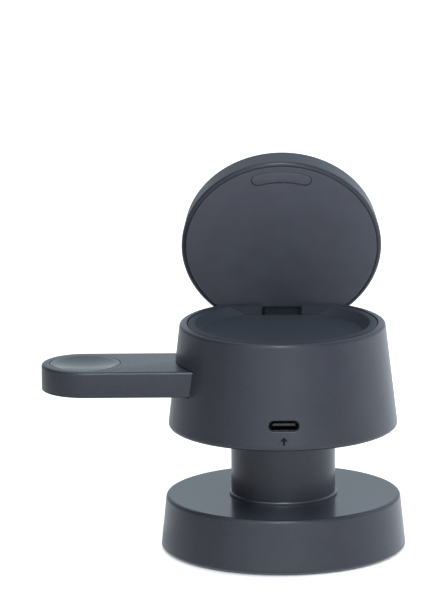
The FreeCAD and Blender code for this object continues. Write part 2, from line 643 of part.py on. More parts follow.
# Tray insert: soft dished liner in the recess, straight along the hinge
DISH_RADIUS = f"({TRAY_RADIUS} - dish_rim)"
insert_blank = turned((
    ("0", TRAY_FLOOR),
    (f"{TRAY_RADIUS} - seat_gap", TRAY_FLOOR),
    (f"{TRAY_RADIUS} - seat_gap", f"{HEAD_TOP} - insert_sink"),
    (DISH_RADIUS, f"{HEAD_TOP} - insert_sink"),
    (f"{DISH_RADIUS} - dish_slope", f"{TRAY_FLOOR} + insert_floor"),
    ("0", f"{TRAY_FLOOR} + insert_floor"),
))
round_rings(insert_blank, ((DISH_RADIUS, f"{HEAD_TOP} - insert_sink", "dish_lip_edge"),))
node("tray_insert", cut(insert_blank, block(
    ("-head_foot_radius", "head_foot_radius"), (f"{TRAY_LAND} - seat_gap", "head_foot_radius"),
    (f"{TRAY_FLOOR} - tool_overrun", f"{HEAD_TOP} + tool_overrun"))))

# Tray coil and its ferrite, bonded under the deck
coil_low = f"({HEAD_DECK_UNDER} - coil_height)"
tray_ferrite_radius = f"({HINGE_Y} - hinge_block_depth - tray_coil_gap)"
node("tray_coil", ring("tray_coil_bore", f"{tray_ferrite_radius} - ferrite_border",
                       coil_low, HEAD_DECK_UNDER))
node("tray_ferrite", disc(tray_ferrite_radius, f"{coil_low} - ferrite_height", coil_low))

# Main board on posts of the head plate, with the inlet socket on its front edge
BOARD_TOP = f"({PORT_Z} - socket_radius)"
BOARD_LOW = f"({BOARD_TOP} - board_thickness)"
BOARD_FRONT = f"(-{PORT_WALL} + board_front_inset)"
BOARD_BACK = f"(-{COLUMN_BOSS_CIRCLE} / 2 - board_back_gap)"
post_x = "board_half_width - board_post_inset"
board_posts = [(f"{side} * ({post_x})", y) for side in (-1, 1)
               for y in (f"{BOARD_FRONT} + board_post_inset", f"{BOARD_BACK} - board_post_inset")]
board_bite = f"{BOARD_TOP} - {HEAD_PLATE_TOP}"
board_blank = block(
    ("-board_half_width", "board_half_width"), (BOARD_FRONT, BOARD_BACK), (BOARD_LOW, BOARD_TOP))
node("main_board", cut(board_blank, *[screw_seat(x, y, BOARD_TOP, board_bite) for x, y in board_posts]))
node("board_screws", group([screw(x, y, BOARD_TOP, board_bite) for x, y in board_posts]))
SOCKET_FRONT = f"(-{PORT_WALL} + port_recess)"
SOCKET_BACK = f"({SOCKET_FRONT} + socket_length)"
node("inlet_socket", cut(
    stadium_rod("socket_radius", "socket_half_flat", SOCKET_FRONT, SOCKET_BACK, PORT_Z),
    stadium_rod("socket_radius - socket_wall", "socket_half_flat", f"{SOCKET_FRONT} - tool_overrun",
                f"{SOCKET_BACK} - socket_wall", PORT_Z)))
node("inlet_tongue", block(
    ("-tongue_half_width", "tongue_half_width"),
    (f"{SOCKET_FRONT} + tongue_recess", f"{SOCKET_BACK} - socket_wall"),
    (f"{PORT_Z} - tongue_height / 2", f"{PORT_Z} + tongue_height / 2")))

# Chips under the board: each as (from, to) across its half width and (from, to) along it from its back edge
CHIPS = (((-0.45, 0.0), (0.52, 0.28)), ((0.15, 0.45), (0.5, 0.36)), ((-0.2, 0.35), (0.2, 0.05)))
node("board_parts", group([
    block(tuple(f"{share} * board_half_width" for share in across),
          tuple(f"{BOARD_BACK} - {share} * ({BOARD_BACK} - {BOARD_FRONT})" for share in along),
          (f"{BOARD_LOW} - chip_height", BOARD_LOW))
    for across, along in CHIPS]))

# Arm guide: moulded tunnel on four legs that carries the arm inside the head
GUIDE_LOW = f"({ARM_LOW} - arm_gap - guide_floor)"
GUIDE_HIGH = f"({ARM_HIGH} + arm_gap + guide_wall)"
guide_front = f"({ARM_FRONT} - arm_gap - guide_wall)"
guide_room = f"({head_outer_radius(f'{GUIDE_HIGH} - {HEAD_FOOT}')} - head_wall)"
guide_half_length = f"(sqrt({guide_room} ^ 2 - {guide_front} ^ 2) - guide_gap)"
guide_legs = [(f"{side} * guide_leg_reach", f"-arm_offset + {end} * guide_leg_spread")
              for side in (-1, 1) for end in (-1, 1)]
tunnel = cut(
    block((f"-{guide_half_length}", guide_half_length),
          (guide_front, f"{ARM_BACK} + arm_gap + guide_wall"), (GUIDE_LOW, GUIDE_HIGH)),
    block((f"-{guide_half_length} - tool_overrun", f"{guide_half_length} + tool_overrun"),
          (f"{ARM_FRONT} - arm_gap", f"{ARM_BACK} + arm_gap"),
          (f"{ARM_LOW} - arm_gap", f"{ARM_HIGH} + arm_gap")))
guide_solid = fuse(tunnel, *[rod("guide_leg_radius", HEAD_PLATE_TOP, f"{GUIDE_LOW} + guide_floor / 2", x, y)
                             for x, y in guide_legs])
node("arm_guide", cut(guide_solid, *[screw_seat(x, y, HEAD_FOOT, HEAD_BITE, up=True) for x, y in guide_legs]))
node("guide_screws", group([screw(x, y, HEAD_FOOT, HEAD_BITE, up=True) for x, y in guide_legs]))

# Head plate: closes the head, carries the board posts and is screwed to the shell, guide and column
head_disc = turned((
    ("0", HEAD_FOOT),
    ("head_foot_radius - head_wall - seat_gap", HEAD_FOOT),
    (f"{plate_room} - seat_gap", HEAD_PLATE_TOP),
    ("0", HEAD_PLATE_TOP),
))
plate_solid = fuse(head_disc, *[
    rod("board_post_radius", f"{HEAD_PLATE_TOP} - head_plate_height / 2", BOARD_LOW, x, y)
    for x, y in board_posts])
node("head_plate", cut(
    plate_solid,
    *[screw_seat(x, y, HEAD_FOOT, HEAD_BITE, up=True) for x, y in head_bosses + guide_legs],
    *[screw_seat(x, y, HEAD_PLATE_TOP, HEAD_BITE) for x, y in column_bosses],
    *[screw_seat(x, y, BOARD_TOP, board_bite) for x, y in board_posts]))
node("head_screws", group([screw(x, y, HEAD_FOOT, HEAD_BITE, up=True) for x, y in head_bosses]))

# Hinge pin pressed in the block's cheeks, with a friction washer on each side of the hinge arm
node("hinge_pin", cross_rod("pin_radius", f"-{BLOCK_HALF} + seat_gap", f"{BLOCK_HALF} - seat_gap",
                            HINGE_Y, HINGE_Z))
washer_in = "(hinge_arm_half_width + seat_gap)"
washer_out = f"({washer_in} + hinge_washer_height)"
node("hinge_washers", group([
    cut(cross_rod("hinge_washer_radius", low, high, HINGE_Y, HINGE_Z),
        cross_rod("pin_radius + press_gap",
                  f"{low} - tool_overrun", f"{high} + tool_overrun", HINGE_Y, HINGE_Z))
    for low, high in ((f"-{washer_out}", f"-{washer_in}"), (washer_in, washer_out))]))

# The pad is drawn folded flat about its own middle, its back at height 0 and its hinge towards +Y,
# and then turned up about the hinge by PAD_TURN
PAD_FRONT = f"({PAD_BACK} - pad_front_inset)"
KEY_CIRCLE = f"({PAD_COVER} - key_inset)"
FOOT_Y = f"({HINGE_Y} - hinge_foot_shift)"
FOOT_LOW = f"({FOOT_Y} - hinge_foot_half_depth)"
FOOT_HIGH = f"({FOOT_Y} + hinge_foot_half_depth)"
PAD_TURN = "-(90 - pad_lean)"
PAD_Y = f"({HINGE_Y} - {HINGE_Y} * sin(pad_lean) + hinge_drop * cos(pad_lean))"
PAD_Z = f"({HINGE_Z} + {HINGE_Y} * cos(pad_lean) + hinge_drop * sin(pad_lean))"


def pad_node(label, thing):
    """Name a sub-part of the pad and turn it up about the hinge."""
    return node(label, place(thing, "0", PAD_Y, PAD_Z, (X_AXIS, PAD_TURN)))


def key_shape(grow, low, high):
    """Kidney along the key's circle, grown all round."""
    sweep = doc.addObject("Part::Cylinder", "sweep")
    tie(sweep, "Radius", f"{KEY_CIRCLE} + key_half_height + {grow}")
    tie(sweep, "Angle", "2 * key_half_angle")
    tie(sweep, "Height", f"({high}) - ({low})")
    place(sweep, z=low, turn=(Z_AXIS, "-90 - key_half_angle"))
    arc = cut(sweep, rod(f"{KEY_CIRCLE} - key_half_height - {grow}",
                         f"{low} - tool_overrun", f"{high} + tool_overrun"))
    ends = [rod(f"key_half_height + {grow}", low, high, f"{side} * {KEY_CIRCLE} * sin(key_half_angle)",
                f"-{KEY_CIRCLE} * cos(key_half_angle)") for side in (-1, 1)]
    return fuse(arc, *ends)


# Pad shell: moulded cup, open at its back, with a shallow recess for the face
FACE_FLOOR = "(pad_thickness - face_height)"
PAD_INNER_FRONT = f"({FACE_FLOOR} - pad_front_wall)"
FACE_RADIUS = f"({PAD_FRONT} - face_rim)"
pad_cup = turned((
    (PAD_BACK, "0"),
    (PAD_FRONT, "pad_thickness"),
    (f"{FACE_RADIUS} + seat_gap", "pad_thickness"),
    (f"{FACE_RADIUS} + seat_gap", FACE_FLOOR),
    ("0", FACE_FLOOR),
    ("0", PAD_INNER_FRONT),
    (PAD_INNER, PAD_INNER_FRONT),
    (PAD_INNER, "pad_cover_height"),
    (f"{PAD_COVER} + seat_gap", "pad_cover_height"),
    (f"{PAD_COVER} + seat_gap", "0"),
))
round_rings(pad_cup, (
    (PAD_BACK, "0", "pad_back_edge"),
    (PAD_FRONT, "pad_thickness", "pad_front_edge"),
))
pad_node("pad_shell", pad_cup)
pad_node("pad_face", disc(FACE_RADIUS, FACE_FLOOR, "pad_thickness"))

# Magnets in a ring, coil and ferrite, all bonded behind the front wall
MAGNET_PAIRS = 8
MAGNET_RADIUS = f"({PAD_INNER} - magnet_gap)"
MAGNET_BORE = f"({MAGNET_RADIUS} - magnet_width)"
magnet_low = f"({PAD_INNER_FRONT} - magnet_height)"
splits = []
for index in range(MAGNET_PAIRS):
    split = block((f"-{MAGNET_RADIUS} - tool_overrun", f"{MAGNET_RADIUS} + tool_overrun"),
                  ("-magnet_split / 2", "magnet_split / 2"),
                  (f"{magnet_low} - tool_overrun", f"{PAD_INNER_FRONT} + tool_overrun"))
    spoke = doc.addObject("Part::Compound", "spoke")
    spoke.Links = [split]
    splits.append(place(spoke, turn=(Z_AXIS, str((index + 0.5) * 180.0 / MAGNET_PAIRS))))
pad_node("pad_magnets", cut(ring(MAGNET_BORE, MAGNET_RADIUS, magnet_low, PAD_INNER_FRONT), *splits))
pad_coil_low = f"({PAD_INNER_FRONT} - coil_height)"
pad_ferrite_low = f"({pad_coil_low} - ferrite_height)"
pad_coil_radius = f"({MAGNET_BORE} - pad_coil_gap)"
pad_ferrite_radius = f"({pad_coil_radius} + ferrite_border)"
pad_node("pad_coil", ring("pad_coil_bore", pad_coil_radius, pad_coil_low, PAD_INNER_FRONT))
pad_node("pad_ferrite", disc(pad_ferrite_radius, pad_ferrite_low, pad_coil_low))

# Pad board against the ferrite, with a tab that carries the key's switch
pad_board_low = f"({pad_ferrite_low} - board_thickness)"
pad_board_radius = f"({pad_ferrite_radius} - pad_board_inset)"
pad_board_blank = fuse(
    disc(pad_board_radius, pad_board_low, pad_ferrite_low),
    block(("-pad_board_tab_half_width", "pad_board_tab_half_width"),
          (f"-{KEY_CIRCLE} - switch_half_depth - tab_border", "0"), (pad_board_low, pad_ferrite_low)))
pad_node("pad_board", cut(pad_board_blank, block(
    (f"-{pad_board_radius}", pad_board_radius),
    (f"{FOOT_LOW} - hinge_boss_border - pad_board_gap", f"{pad_board_radius} + tool_overrun"),
    (f"{pad_board_low} - tool_overrun", f"{pad_ferrite_low} + tool_overrun"))))
flange_low = "(pad_cover_height + key_gap)"
flange_high = f"({flange_low} + key_flange_height)"
pad_node("pad_switch", group([block(
    ("-switch_half_width", "switch_half_width"),
    (f"-{KEY_CIRCLE} - switch_half_depth", f"-{KEY_CIRCLE} + switch_half_depth"),
    (f"{flange_high} + key_travel + running_gap", pad_board_low))]))

# Key: kidney-shaped cap in the back cover, kept in by its flange
pad_node("pad_key", fuse(key_shape("0", "0", flange_high), key_shape("key_flange", flange_low, flange_high)))

# Back cover with the key's opening, board posts and the seat of the hinge arm's foot
hinge_bite = "hinge_foot_height + hinge_boss_height - bite_gap"
hinge_screw_places = [(f"{side} * hinge_screw_spread", FOOT_Y) for side in (-1, 1)]
boss_half = "(hinge_foot_half_width + hinge_boss_border)"
boss_plate = common(
    block((f"-{boss_half}", boss_half),
          (f"{FOOT_LOW} - hinge_boss_border", f"{FOOT_HIGH} + hinge_boss_border"),
          ("pad_cover_height / 2", "hinge_foot_height + hinge_boss_height")),
    rod(f"{PAD_INNER} - hinge_boss_gap", "0", "pad_thickness"))
cover_solid = fuse(
    disc(PAD_COVER, "0", "pad_cover_height"), boss_plate,
    *[rod("pad_post_radius", "pad_cover_height / 2", pad_board_low, x, y)
      for x, y in around(PAD_POST_COUNT, PAD_POST_ANGLE, "pad_post_circle")])
foot_seat = block(
    ("-hinge_foot_half_width - seat_gap", "hinge_foot_half_width + seat_gap"),
    (f"{FOOT_LOW} - seat_gap", f"{FOOT_HIGH} + seat_gap"), ("-tool_overrun", "hinge_foot_height"))
pad_node("pad_back_cover", cut(
    cover_solid, foot_seat, key_shape("key_gap", "-tool_overrun", "pad_cover_height + tool_overrun"),
    *[screw_seat(x, y, "0", hinge_bite, up=True) for x, y in hinge_screw_places]))

# Hinge arm: cast lever whose foot is let into the cover and whose eye turns on the pin
lever = fuse(
    cross_rod("hinge_barrel_radius", "-hinge_arm_half_width", "hinge_arm_half_width", HINGE_Y, "-hinge_drop"),
    block(("-hinge_arm_half_width", "hinge_arm_half_width"),
          (f"{HINGE_Y} - hinge_arm_half_depth", f"{HINGE_Y} + hinge_arm_half_depth"),
          ("-hinge_drop", "0")),
    block(("-hinge_foot_half_width", "hinge_foot_half_width"), (FOOT_LOW, FOOT_HIGH),
          ("0", "hinge_foot_height")))
pad_node("hinge_arm", cut(
    lever,
    cross_rod("pin_radius + running_gap", "-hinge_arm_half_width - tool_overrun",
              "hinge_arm_half_width + tool_overrun", HINGE_Y, "-hinge_drop"),
    *[screw_seat(x, y, "0", hinge_bite, up=True) for x, y in hinge_screw_places]))
pad_node("hinge_screws", group([screw(x, y, "0", hinge_bite, up=True) for x, y in hinge_screw_places]))


def bar(inset, low, high):
    """Flat bar with one round end, along the arm's outline, drawn in by inset."""
    width = f"(arm_half_width - ({inset}))"
    return fuse(
        block(("-arm_reach", f"-arm_inner_end - ({inset})"),
              (f"-arm_offset - {width}", f"-arm_offset + {width}"), (low, high)),
        rod(width, low, high, "-arm_reach", "-arm_offset"))


def at_puck(thing):
    """Stand a piece drawn about the origin on the puck's axis."""
    return place(thing, "-arm_reach", "-arm_offset", "0")


# Arm shell: moulded bar, open below, with a round hole for the puck
ARM_ROOF_UNDER = f"({ARM_HIGH} - arm_roof)"
ARM_COVER_TOP = f"({ARM_LOW} + arm_cover_height)"
arm_bosses = [(x, f"-arm_offset + {side} * (arm_half_width - arm_boss_inset)")
              for x in ("-arm_boss_inner", "-arm_boss_outer") for side in (-1, 1)]
arm_bite = "arm_cover_height + arm_screw_bite"
PUCK_RADIUS = "(arm_half_width - arm_wall - puck_flange - puck_gap)"
arm_blank = round_level_edges(
    bar("0", ARM_LOW, ARM_HIGH), ((ARM_HIGH, "arm_edge"), (ARM_LOW, "arm_under_edge")))
arm_hollow = cut(arm_blank, bar("arm_wall", f"{ARM_LOW} - tool_overrun", ARM_ROOF_UNDER))
arm_solid = fuse(arm_hollow, *[
    rod("arm_boss_radius", ARM_COVER_TOP, f"{ARM_ROOF_UNDER} + arm_roof / 2", x, y) for x, y in arm_bosses])
node("arm_shell", cut(
    arm_solid,
    rod(f"{PUCK_RADIUS} + seat_gap", ARM_LOW, f"{ARM_HIGH} + tool_overrun", "-arm_reach", "-arm_offset"),
    *[screw_seat(x, y, ARM_LOW, arm_bite, up=True) for x, y in arm_bosses]))

# Puck: dished charging face, kept under the roof by its flange
PUCK_LOW = f"({ARM_HIGH} - puck_height)"
puck_blank = turned((
    ("0", PUCK_LOW),
    (f"{PUCK_RADIUS} + puck_flange", PUCK_LOW),
    (f"{PUCK_RADIUS} + puck_flange", ARM_ROOF_UNDER),
    (PUCK_RADIUS, ARM_ROOF_UNDER),
    (PUCK_RADIUS, ARM_HIGH),
    ("0", ARM_HIGH),
))
dish = doc.addObject("Part::Sphere", "dish")
tie(dish, "Radius", "puck_dish_curve")
place(dish, z=f"{ARM_HIGH} + sqrt(puck_dish_curve ^ 2 - ({PUCK_RADIUS} - puck_lip) ^ 2)")
node("puck", at_puck(cut(puck_blank, dish)))
puck_coil_low = f"({PUCK_LOW} - puck_coil_height)"
puck_ferrite_low = f"({puck_coil_low} - puck_ferrite_height)"
puck_coil_radius = f"({PUCK_RADIUS} - puck_coil_inset)"
node("puck_coil", at_puck(ring("puck_coil_bore", puck_coil_radius, puck_coil_low, PUCK_LOW)))
node("puck_ferrite", at_puck(ring(
    "puck_ferrite_bore", f"{puck_coil_radius} + ferrite_border", puck_ferrite_low, puck_coil_low)))
node("puck_magnet", at_puck(disc("puck_magnet_radius", puck_ferrite_low, PUCK_LOW)))

# Arm cover: plate let into the arm from below, with the puck's pedestal and ribs for the arm's board
arm_board_low = f"({ARM_COVER_TOP} + arm_board_post)"
board_x = ("-arm_boss_outer + arm_boss_radius", "-arm_boss_inner")
board_y = ("-arm_offset - arm_board_half_width", "-arm_offset + arm_board_half_width")
ribs = [block((f"{x} - arm_board_post", f"{x} + arm_board_post"), board_y,
              (f"{ARM_COVER_TOP} - arm_cover_height / 2", arm_board_low))
        for x in ("-arm_boss_outer + 2 * arm_boss_radius", "-arm_boss_inner - arm_boss_radius")]
cover_blank = fuse(
    bar("arm_wall + seat_gap", ARM_LOW, ARM_COVER_TOP),
    rod(puck_coil_radius, f"{ARM_COVER_TOP} - arm_cover_height / 2", puck_ferrite_low,
        "-arm_reach", "-arm_offset"),
    *ribs)
node("arm_cover", cut(cover_blank, *[screw_seat(x, y, ARM_LOW, arm_bite, up=True) for x, y in arm_bosses]))
node("arm_screws", group([screw(x, y, ARM_LOW, arm_bite, up=True) for x, y in arm_bosses]))
node("arm_board", block(board_x, board_y, (arm_board_low, f"{arm_board_low} + arm_board_thickness")))

doc.recompute()
for thing in doc.Objects:
    if "Invalid" in thing.State or "Error" in thing.State:
        raise RuntimeError(f"{thing.Label} did not build: {thing.State}")
for thing in nodes:
    if thing.Shape.isNull() or not thing.Shape.isValid() or not thing.Shape.Solids:
        raise RuntimeError(f"{thing.Label} is not a sound solid")

os.makedirs("parts", exist_ok=True)
for thing in nodes:
    thing.Shape.exportStep(f"parts/{thing.Label}.step")
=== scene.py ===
import json
import math

import bmesh
import bpy
from mathutils import Matrix, Vector


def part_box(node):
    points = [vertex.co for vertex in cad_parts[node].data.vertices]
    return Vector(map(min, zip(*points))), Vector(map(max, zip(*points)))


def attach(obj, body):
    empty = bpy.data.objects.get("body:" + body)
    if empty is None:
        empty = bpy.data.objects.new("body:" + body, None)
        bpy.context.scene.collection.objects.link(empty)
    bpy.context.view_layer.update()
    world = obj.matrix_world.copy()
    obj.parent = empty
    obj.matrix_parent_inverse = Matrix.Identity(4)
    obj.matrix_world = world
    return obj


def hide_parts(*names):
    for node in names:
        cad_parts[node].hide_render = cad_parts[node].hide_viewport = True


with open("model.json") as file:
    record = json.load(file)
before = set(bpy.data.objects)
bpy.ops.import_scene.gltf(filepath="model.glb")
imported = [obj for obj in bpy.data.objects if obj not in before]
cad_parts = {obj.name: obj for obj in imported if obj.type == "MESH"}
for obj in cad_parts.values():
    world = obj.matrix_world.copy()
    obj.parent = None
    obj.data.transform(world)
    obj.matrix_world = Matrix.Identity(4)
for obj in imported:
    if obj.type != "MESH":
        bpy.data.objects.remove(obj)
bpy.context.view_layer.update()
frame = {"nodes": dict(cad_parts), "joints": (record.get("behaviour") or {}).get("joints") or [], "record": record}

# Foot pad: a soft rubber disc bonded under the base plate, the only piece that touches the table.
# It is moulded with a softened rim and three shallow grip grooves in its underside.
MM = 0.001
scene = bpy.context.scene
foot_low, foot_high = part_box("foot_pad")
foot_radius = foot_high.x
foot_rim = 0.35 * MM
groove_depth = 0.25 * MM
groove_half_width = 0.8 * MM
groove_shares = (0.45, 0.65, 0.85)
arc_margin = 0.35
side_margin = 0.3
crease = math.radians(35)
wave_factor = 20
grain_detail = 3.0


def mesh_of(made):
    """Mesh from a bmesh whose faces are turned outwards."""
    bmesh.ops.recalc_face_normals(made, faces=made.faces)
    mesh = bpy.data.meshes.new("made")
    made.to_mesh(mesh)
    made.free()
    return mesh


def turned(outline, steps=192):
    """Solid of revolution about Z from a closed outline of (radius, height) points."""
    made = bmesh.new()
    rings = []
    for radius, height in outline:
        if radius == 0:
            rings.append([made.verts.new((0, 0, height))] * steps)
            continue
        angles = (2 * math.pi * step / steps for step in range(steps))
        rings.append([made.verts.new((radius * math.cos(angle), radius * math.sin(angle), height))
                      for angle in angles])
    for lower, upper in zip(rings, rings[1:] + rings[:1]):
        for step in range(steps):
            after = (step + 1) % steps
            corners = (lower[step], lower[after], upper[after], upper[step])
            corners = list(dict.fromkeys(corners))
            if len(corners) > 2:
                made.faces.new(corners)
    return mesh_of(made)


def softened(corners, parts=6):
    """Outline whose corners (x, y, rounding) become arcs, with a point close beside each arc."""
    outline = []
    for index, (x, y, rounding) in enumerate(corners):
        here = Vector((x, y))
        if not rounding:
            outline.append((x, y))
            continue
        before = Vector(corners[index - 1][:2]) - here
        after = Vector(corners[(index + 1) % len(corners)][:2]) - here
        half = before.angle(after) / 2
        reach = rounding / math.tan(half)
        straight = min(before.length, after.length) - reach
        beside = min(arc_margin * rounding, side_margin * straight)
        before.normalize()
        after.normalize()
        first, last = here + before * reach, here + after * reach
        middle = here + (before + after).normalized() * rounding / math.sin(half)
        sweep = (first - middle).angle_signed(last - middle)
        outline.append(tuple(first + before * beside))
        for part in range(parts + 1):
            turn = Matrix.Rotation(-sweep * part / parts, 2)
            outline.append(tuple(middle + turn @ (first - middle)))
        outline.append(tuple(last + after * beside))
    return outline


def piece(name, mesh, material, body, modelled=None):
    """Piece of the object from a finished mesh, which may stand for a modelled one."""
    mesh.name = name
    mesh.materials.clear()
    mesh.materials.append(material)
    mesh.shade_smooth()
    mesh.set_sharp_from_angle(angle=crease)
    made = bpy.data.objects.new(name, mesh)
    scene.collection.objects.link(made)
    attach(made, body)
    if modelled:
        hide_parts(modelled)


def wired(tree, kind, inputs, **settings):
    """Outputs of a new node whose inputs are linked to sockets or set to values."""
    node = tree.nodes.new(kind)
    for setting, choice in settings.items():
        setattr(node, setting, choice)
    for name, source in inputs.items():
        if isinstance(source, bpy.types.NodeSocket):
            tree.links.new(source, node.inputs[name])
        else:
            node.inputs[name].default_value = source
    return node.outputs


def between(tree, source, span, ends):
    """Numbers between two ends as the source crosses a span."""
    (start, stop), (first, last) = span, ends
    return wired(tree, "ShaderNodeMapRange", {
        "Value": source, "From Min": start, "From Max": stop,
        "To Min": first, "To Max": last})["Result"]


class Finish:
    """Procedural material on Object coordinates."""

    common = (0.3, 0.7)  # the part of its range in which most of a noise lies

    def __init__(self, name, metallic=0.0, specular=0.5):
        self.material = bpy.data.materials.new(name)
        self.material.use_nodes = True
        self.tree = self.material.node_tree
        self.shader = self.tree.nodes["Principled BSDF"].inputs
        self.shader["Metallic"].default_value = metallic
        self.shader["Specular IOR Level"].default_value = specular
        self.place = wired(self.tree, "ShaderNodeTexCoord", {})["Object"]

    def grain(self, fineness, detail=2.0, stretch=None):
        """Noise; stretch draws it out along an axis."""
        place = self.place
        if stretch:
            place = wired(self.tree, "ShaderNodeMapping",
                          {"Vector": place, "Scale": stretch})["Vector"]
        return wired(self.tree, "ShaderNodeTexNoise",
                     {"Vector": place, "Scale": fineness, "Detail": detail})["Fac"]

    def rings(self, centre, turn, pitch):
        """Waves in rings about an axis through centre, turned by the given angles."""
        place = wired(self.tree, "ShaderNodeMapping",
                      {"Vector": self.place, "Location": centre, "Rotation": turn},
                      vector_type="TEXTURE")["Vector"]
        scale = 2 * math.pi / (wave_factor * pitch)
        return wired(self.tree, "ShaderNodeTexWave",
                     {"Vector": place, "Scale": scale, "Distortion": 0.0},
                     wave_type="RINGS", rings_direction="Z")["Fac"]

    def colour(self, source, colour, spread):
        """Base colour between a darker and a lighter shade of one colour."""
        shade = wired(self.tree, "ShaderNodeValToRGB", {"Fac": source})["Color"]
        ends = zip(shade.node.color_ramp.elements, self.common, (1 - spread, 1 + spread))
        for element, position, share in ends:
            element.position = position
            element.color = (*(channel * share for channel in colour), 1)
        self.tree.links.new(shade, self.shader["Base Color"])

    def rough(self, source, levels):
        """Roughness between two levels."""
        gloss = between(self.tree, source, self.common, levels)
        self.tree.links.new(gloss, self.shader["Roughness"])

    def bump(self, source, depth):
        """Fine relief."""
        relief = wired(self.tree, "ShaderNodeBump", {"Height": source, "Distance": depth})
        self.tree.links.new(relief["Normal"], self.shader["Normal"])


def grained(name, colour, spread, roughness, fineness, depth, stretch=None, **shader):
    """Material whose colour, gloss and bump follow one grain."""
    finish = Finish(name, **shader)
    grain = finish.grain(fineness, grain_detail, stretch)
    finish.colour(grain, colour, spread)
    finish.rough(grain, roughness)
    finish.bump(grain, depth)
    return finish.material


foot_rubber = grained("foot_rubber", (0.021, 0.021, 0.023), spread=0.25, roughness=(0.72, 0.9),
                      fineness=1800.0, depth=0.04 * MM)
foot_outline = [(0, foot_low.z, 0)]
for share in groove_shares:
    inner = share * foot_radius - groove_half_width
    outer = share * foot_radius + groove_half_width
    foot_outline += [
        (inner, foot_low.z, 0),
        (inner + groove_depth, foot_low.z + groove_depth, 0),
        (outer - groove_depth, foot_low.z + groove_depth, 0),
        (outer, foot_low.z, 0),
    ]
foot_outline += [
    (foot_radius, foot_low.z, foot_rim),
    (foot_radius, foot_high.z, 0),
    (0, foot_high.z, 0),
]
foot_mesh = turned(softened(foot_outline, parts=4))
piece("foot", foot_mesh, foot_rubber, "base", "foot_pad")

# Base plate, ballast and slide ring: a moulded plate closes the base from below and carries a
# turned steel disc that keeps the stand from tipping. A moulded ring lies in the deck's groove.
# All three keep their modelled shape and only get a finish.


def dress(material, *modelled):
    """Give modelled pieces that keep their shape their finish."""
    for name in modelled:
        mesh = frame["nodes"][name].data
        mesh.materials.clear()
        mesh.materials.append(material)


inner_plastic = grained("inner_plastic", (0.03, 0.03, 0.033), spread=0.15, roughness=(0.45, 0.6),
                        fineness=900.0, depth=0.01 * MM)
bare_steel = grained("bare_steel", (0.5, 0.51, 0.53), spread=0.08, roughness=(0.25, 0.4),
                     fineness=700.0, depth=0.003 * MM, stretch=(1, 1, 0.05), metallic=1.0)
dress(inner_plastic, "base_plate", "swivel_ring")
dress(bare_steel, "ballast")

# Base screws: four countersunk steel screws with hexagon sockets hold the plate to the base.
# One node tree makes every screw of the stand, at the points of the mesh that it is given.
screw_sizes = {"Shank radius": 1.0 * MM, "Head radius": 2.0 * MM, "Head height": 1.0 * MM,
               "Socket radius": 0.9 * MM, "Socket depth": 0.6 * MM}
screw_head_sides = 32
screw_shank_sides = 24
screw_socket_sides = 6
screw_steel = grained("screw_steel", (0.3, 0.3, 0.31), spread=0.1, roughness=(0.28, 0.42),
                      fineness=2500.0, depth=0.004 * MM, metallic=1.0)


def node_group(name, inputs):
    """Empty geometry node tree with named inputs, its input sockets and its result."""
    tree = bpy.data.node_groups.new(name, "GeometryNodeTree")
    for socket, kind in {"Geometry": "Geometry", **inputs}.items():
        tree.interface.new_socket(socket, in_out="INPUT", socket_type="NodeSocket" + kind)
    tree.interface.new_socket("Geometry", in_out="OUTPUT", socket_type="NodeSocketGeometry")
    given, result = tree.nodes.new("NodeGroupInput"), tree.nodes.new("NodeGroupOutput")
    return tree, given.outputs, result.inputs["Geometry"]


def realized(tree, instances, material):
    """Instances made real and given a material."""
    real = wired(tree, "GeometryNodeRealizeInstances", {"Geometry": instances})["Geometry"]
    return wired(tree, "GeometryNodeSetMaterial",
                 {"Geometry": real, "Material": material})["Geometry"]


def screw_tree():
    """Node tree that stands a countersunk screw on each point, its head flush with the point."""
    lengths = dict.fromkeys((*screw_sizes, "Length"), "Float")
    tree, given, result = node_group(
        "countersunk_screws", {**lengths, "Axis": "Vector", "Steel": "Material"})

    def times(number, factor):
        """Number multiplied by a factor."""
        return wired(tree, "ShaderNodeMath", {0: number, 1: factor}, operation="MULTIPLY")[0]

    def lowered(mesh, drop):
        """Mesh moved along Z."""
        place = wired(tree, "ShaderNodeCombineXYZ", {"Z": drop})["Vector"]
        return wired(tree, "GeometryNodeTransform",
                     {"Geometry": mesh, "Translation": place})["Geometry"]

    head = wired(tree, "GeometryNodeMeshCone", {
        "Vertices": screw_head_sides, "Radius Top": given["Head radius"],
        "Radius Bottom": given["Shank radius"], "Depth": given["Head height"]})["Mesh"]
    shank = wired(tree, "GeometryNodeMeshCylinder", {
        "Vertices": screw_shank_sides, "Radius": given["Shank radius"],
        "Depth": given["Length"]})["Mesh"]
    socket = wired(tree, "GeometryNodeMeshCylinder", {
        "Vertices": screw_socket_sides, "Radius": given["Socket radius"],
        "Depth": times(given["Socket depth"], 2.0)})["Mesh"]
    hollow_head = wired(tree, "GeometryNodeMeshBoolean", {
        "Mesh 1": lowered(head, times(given["Head height"], -1.0)), "Mesh 2": socket},
        operation="DIFFERENCE")["Mesh"]
    shank_drop = wired(tree, "ShaderNodeMath", {
        0: times(given["Length"], -0.5), 1: given["Socket depth"]}, operation="SUBTRACT")[0]
    whole = wired(tree, "GeometryNodeJoinGeometry",
                  {"Geometry": lowered(shank, shank_drop)})["Geometry"]
    tree.links.new(hollow_head, whole.node.inputs["Geometry"])
    aim = wired(tree, "FunctionNodeAlignRotationToVector", {"Vector": given["Axis"]})["Rotation"]
    stand = wired(tree, "GeometryNodeInstanceOnPoints", {
        "Points": given["Geometry"], "Instance": whole, "Rotation": aim})["Instances"]
    tree.links.new(realized(tree, stand, given["Steel"]), result)
    return tree


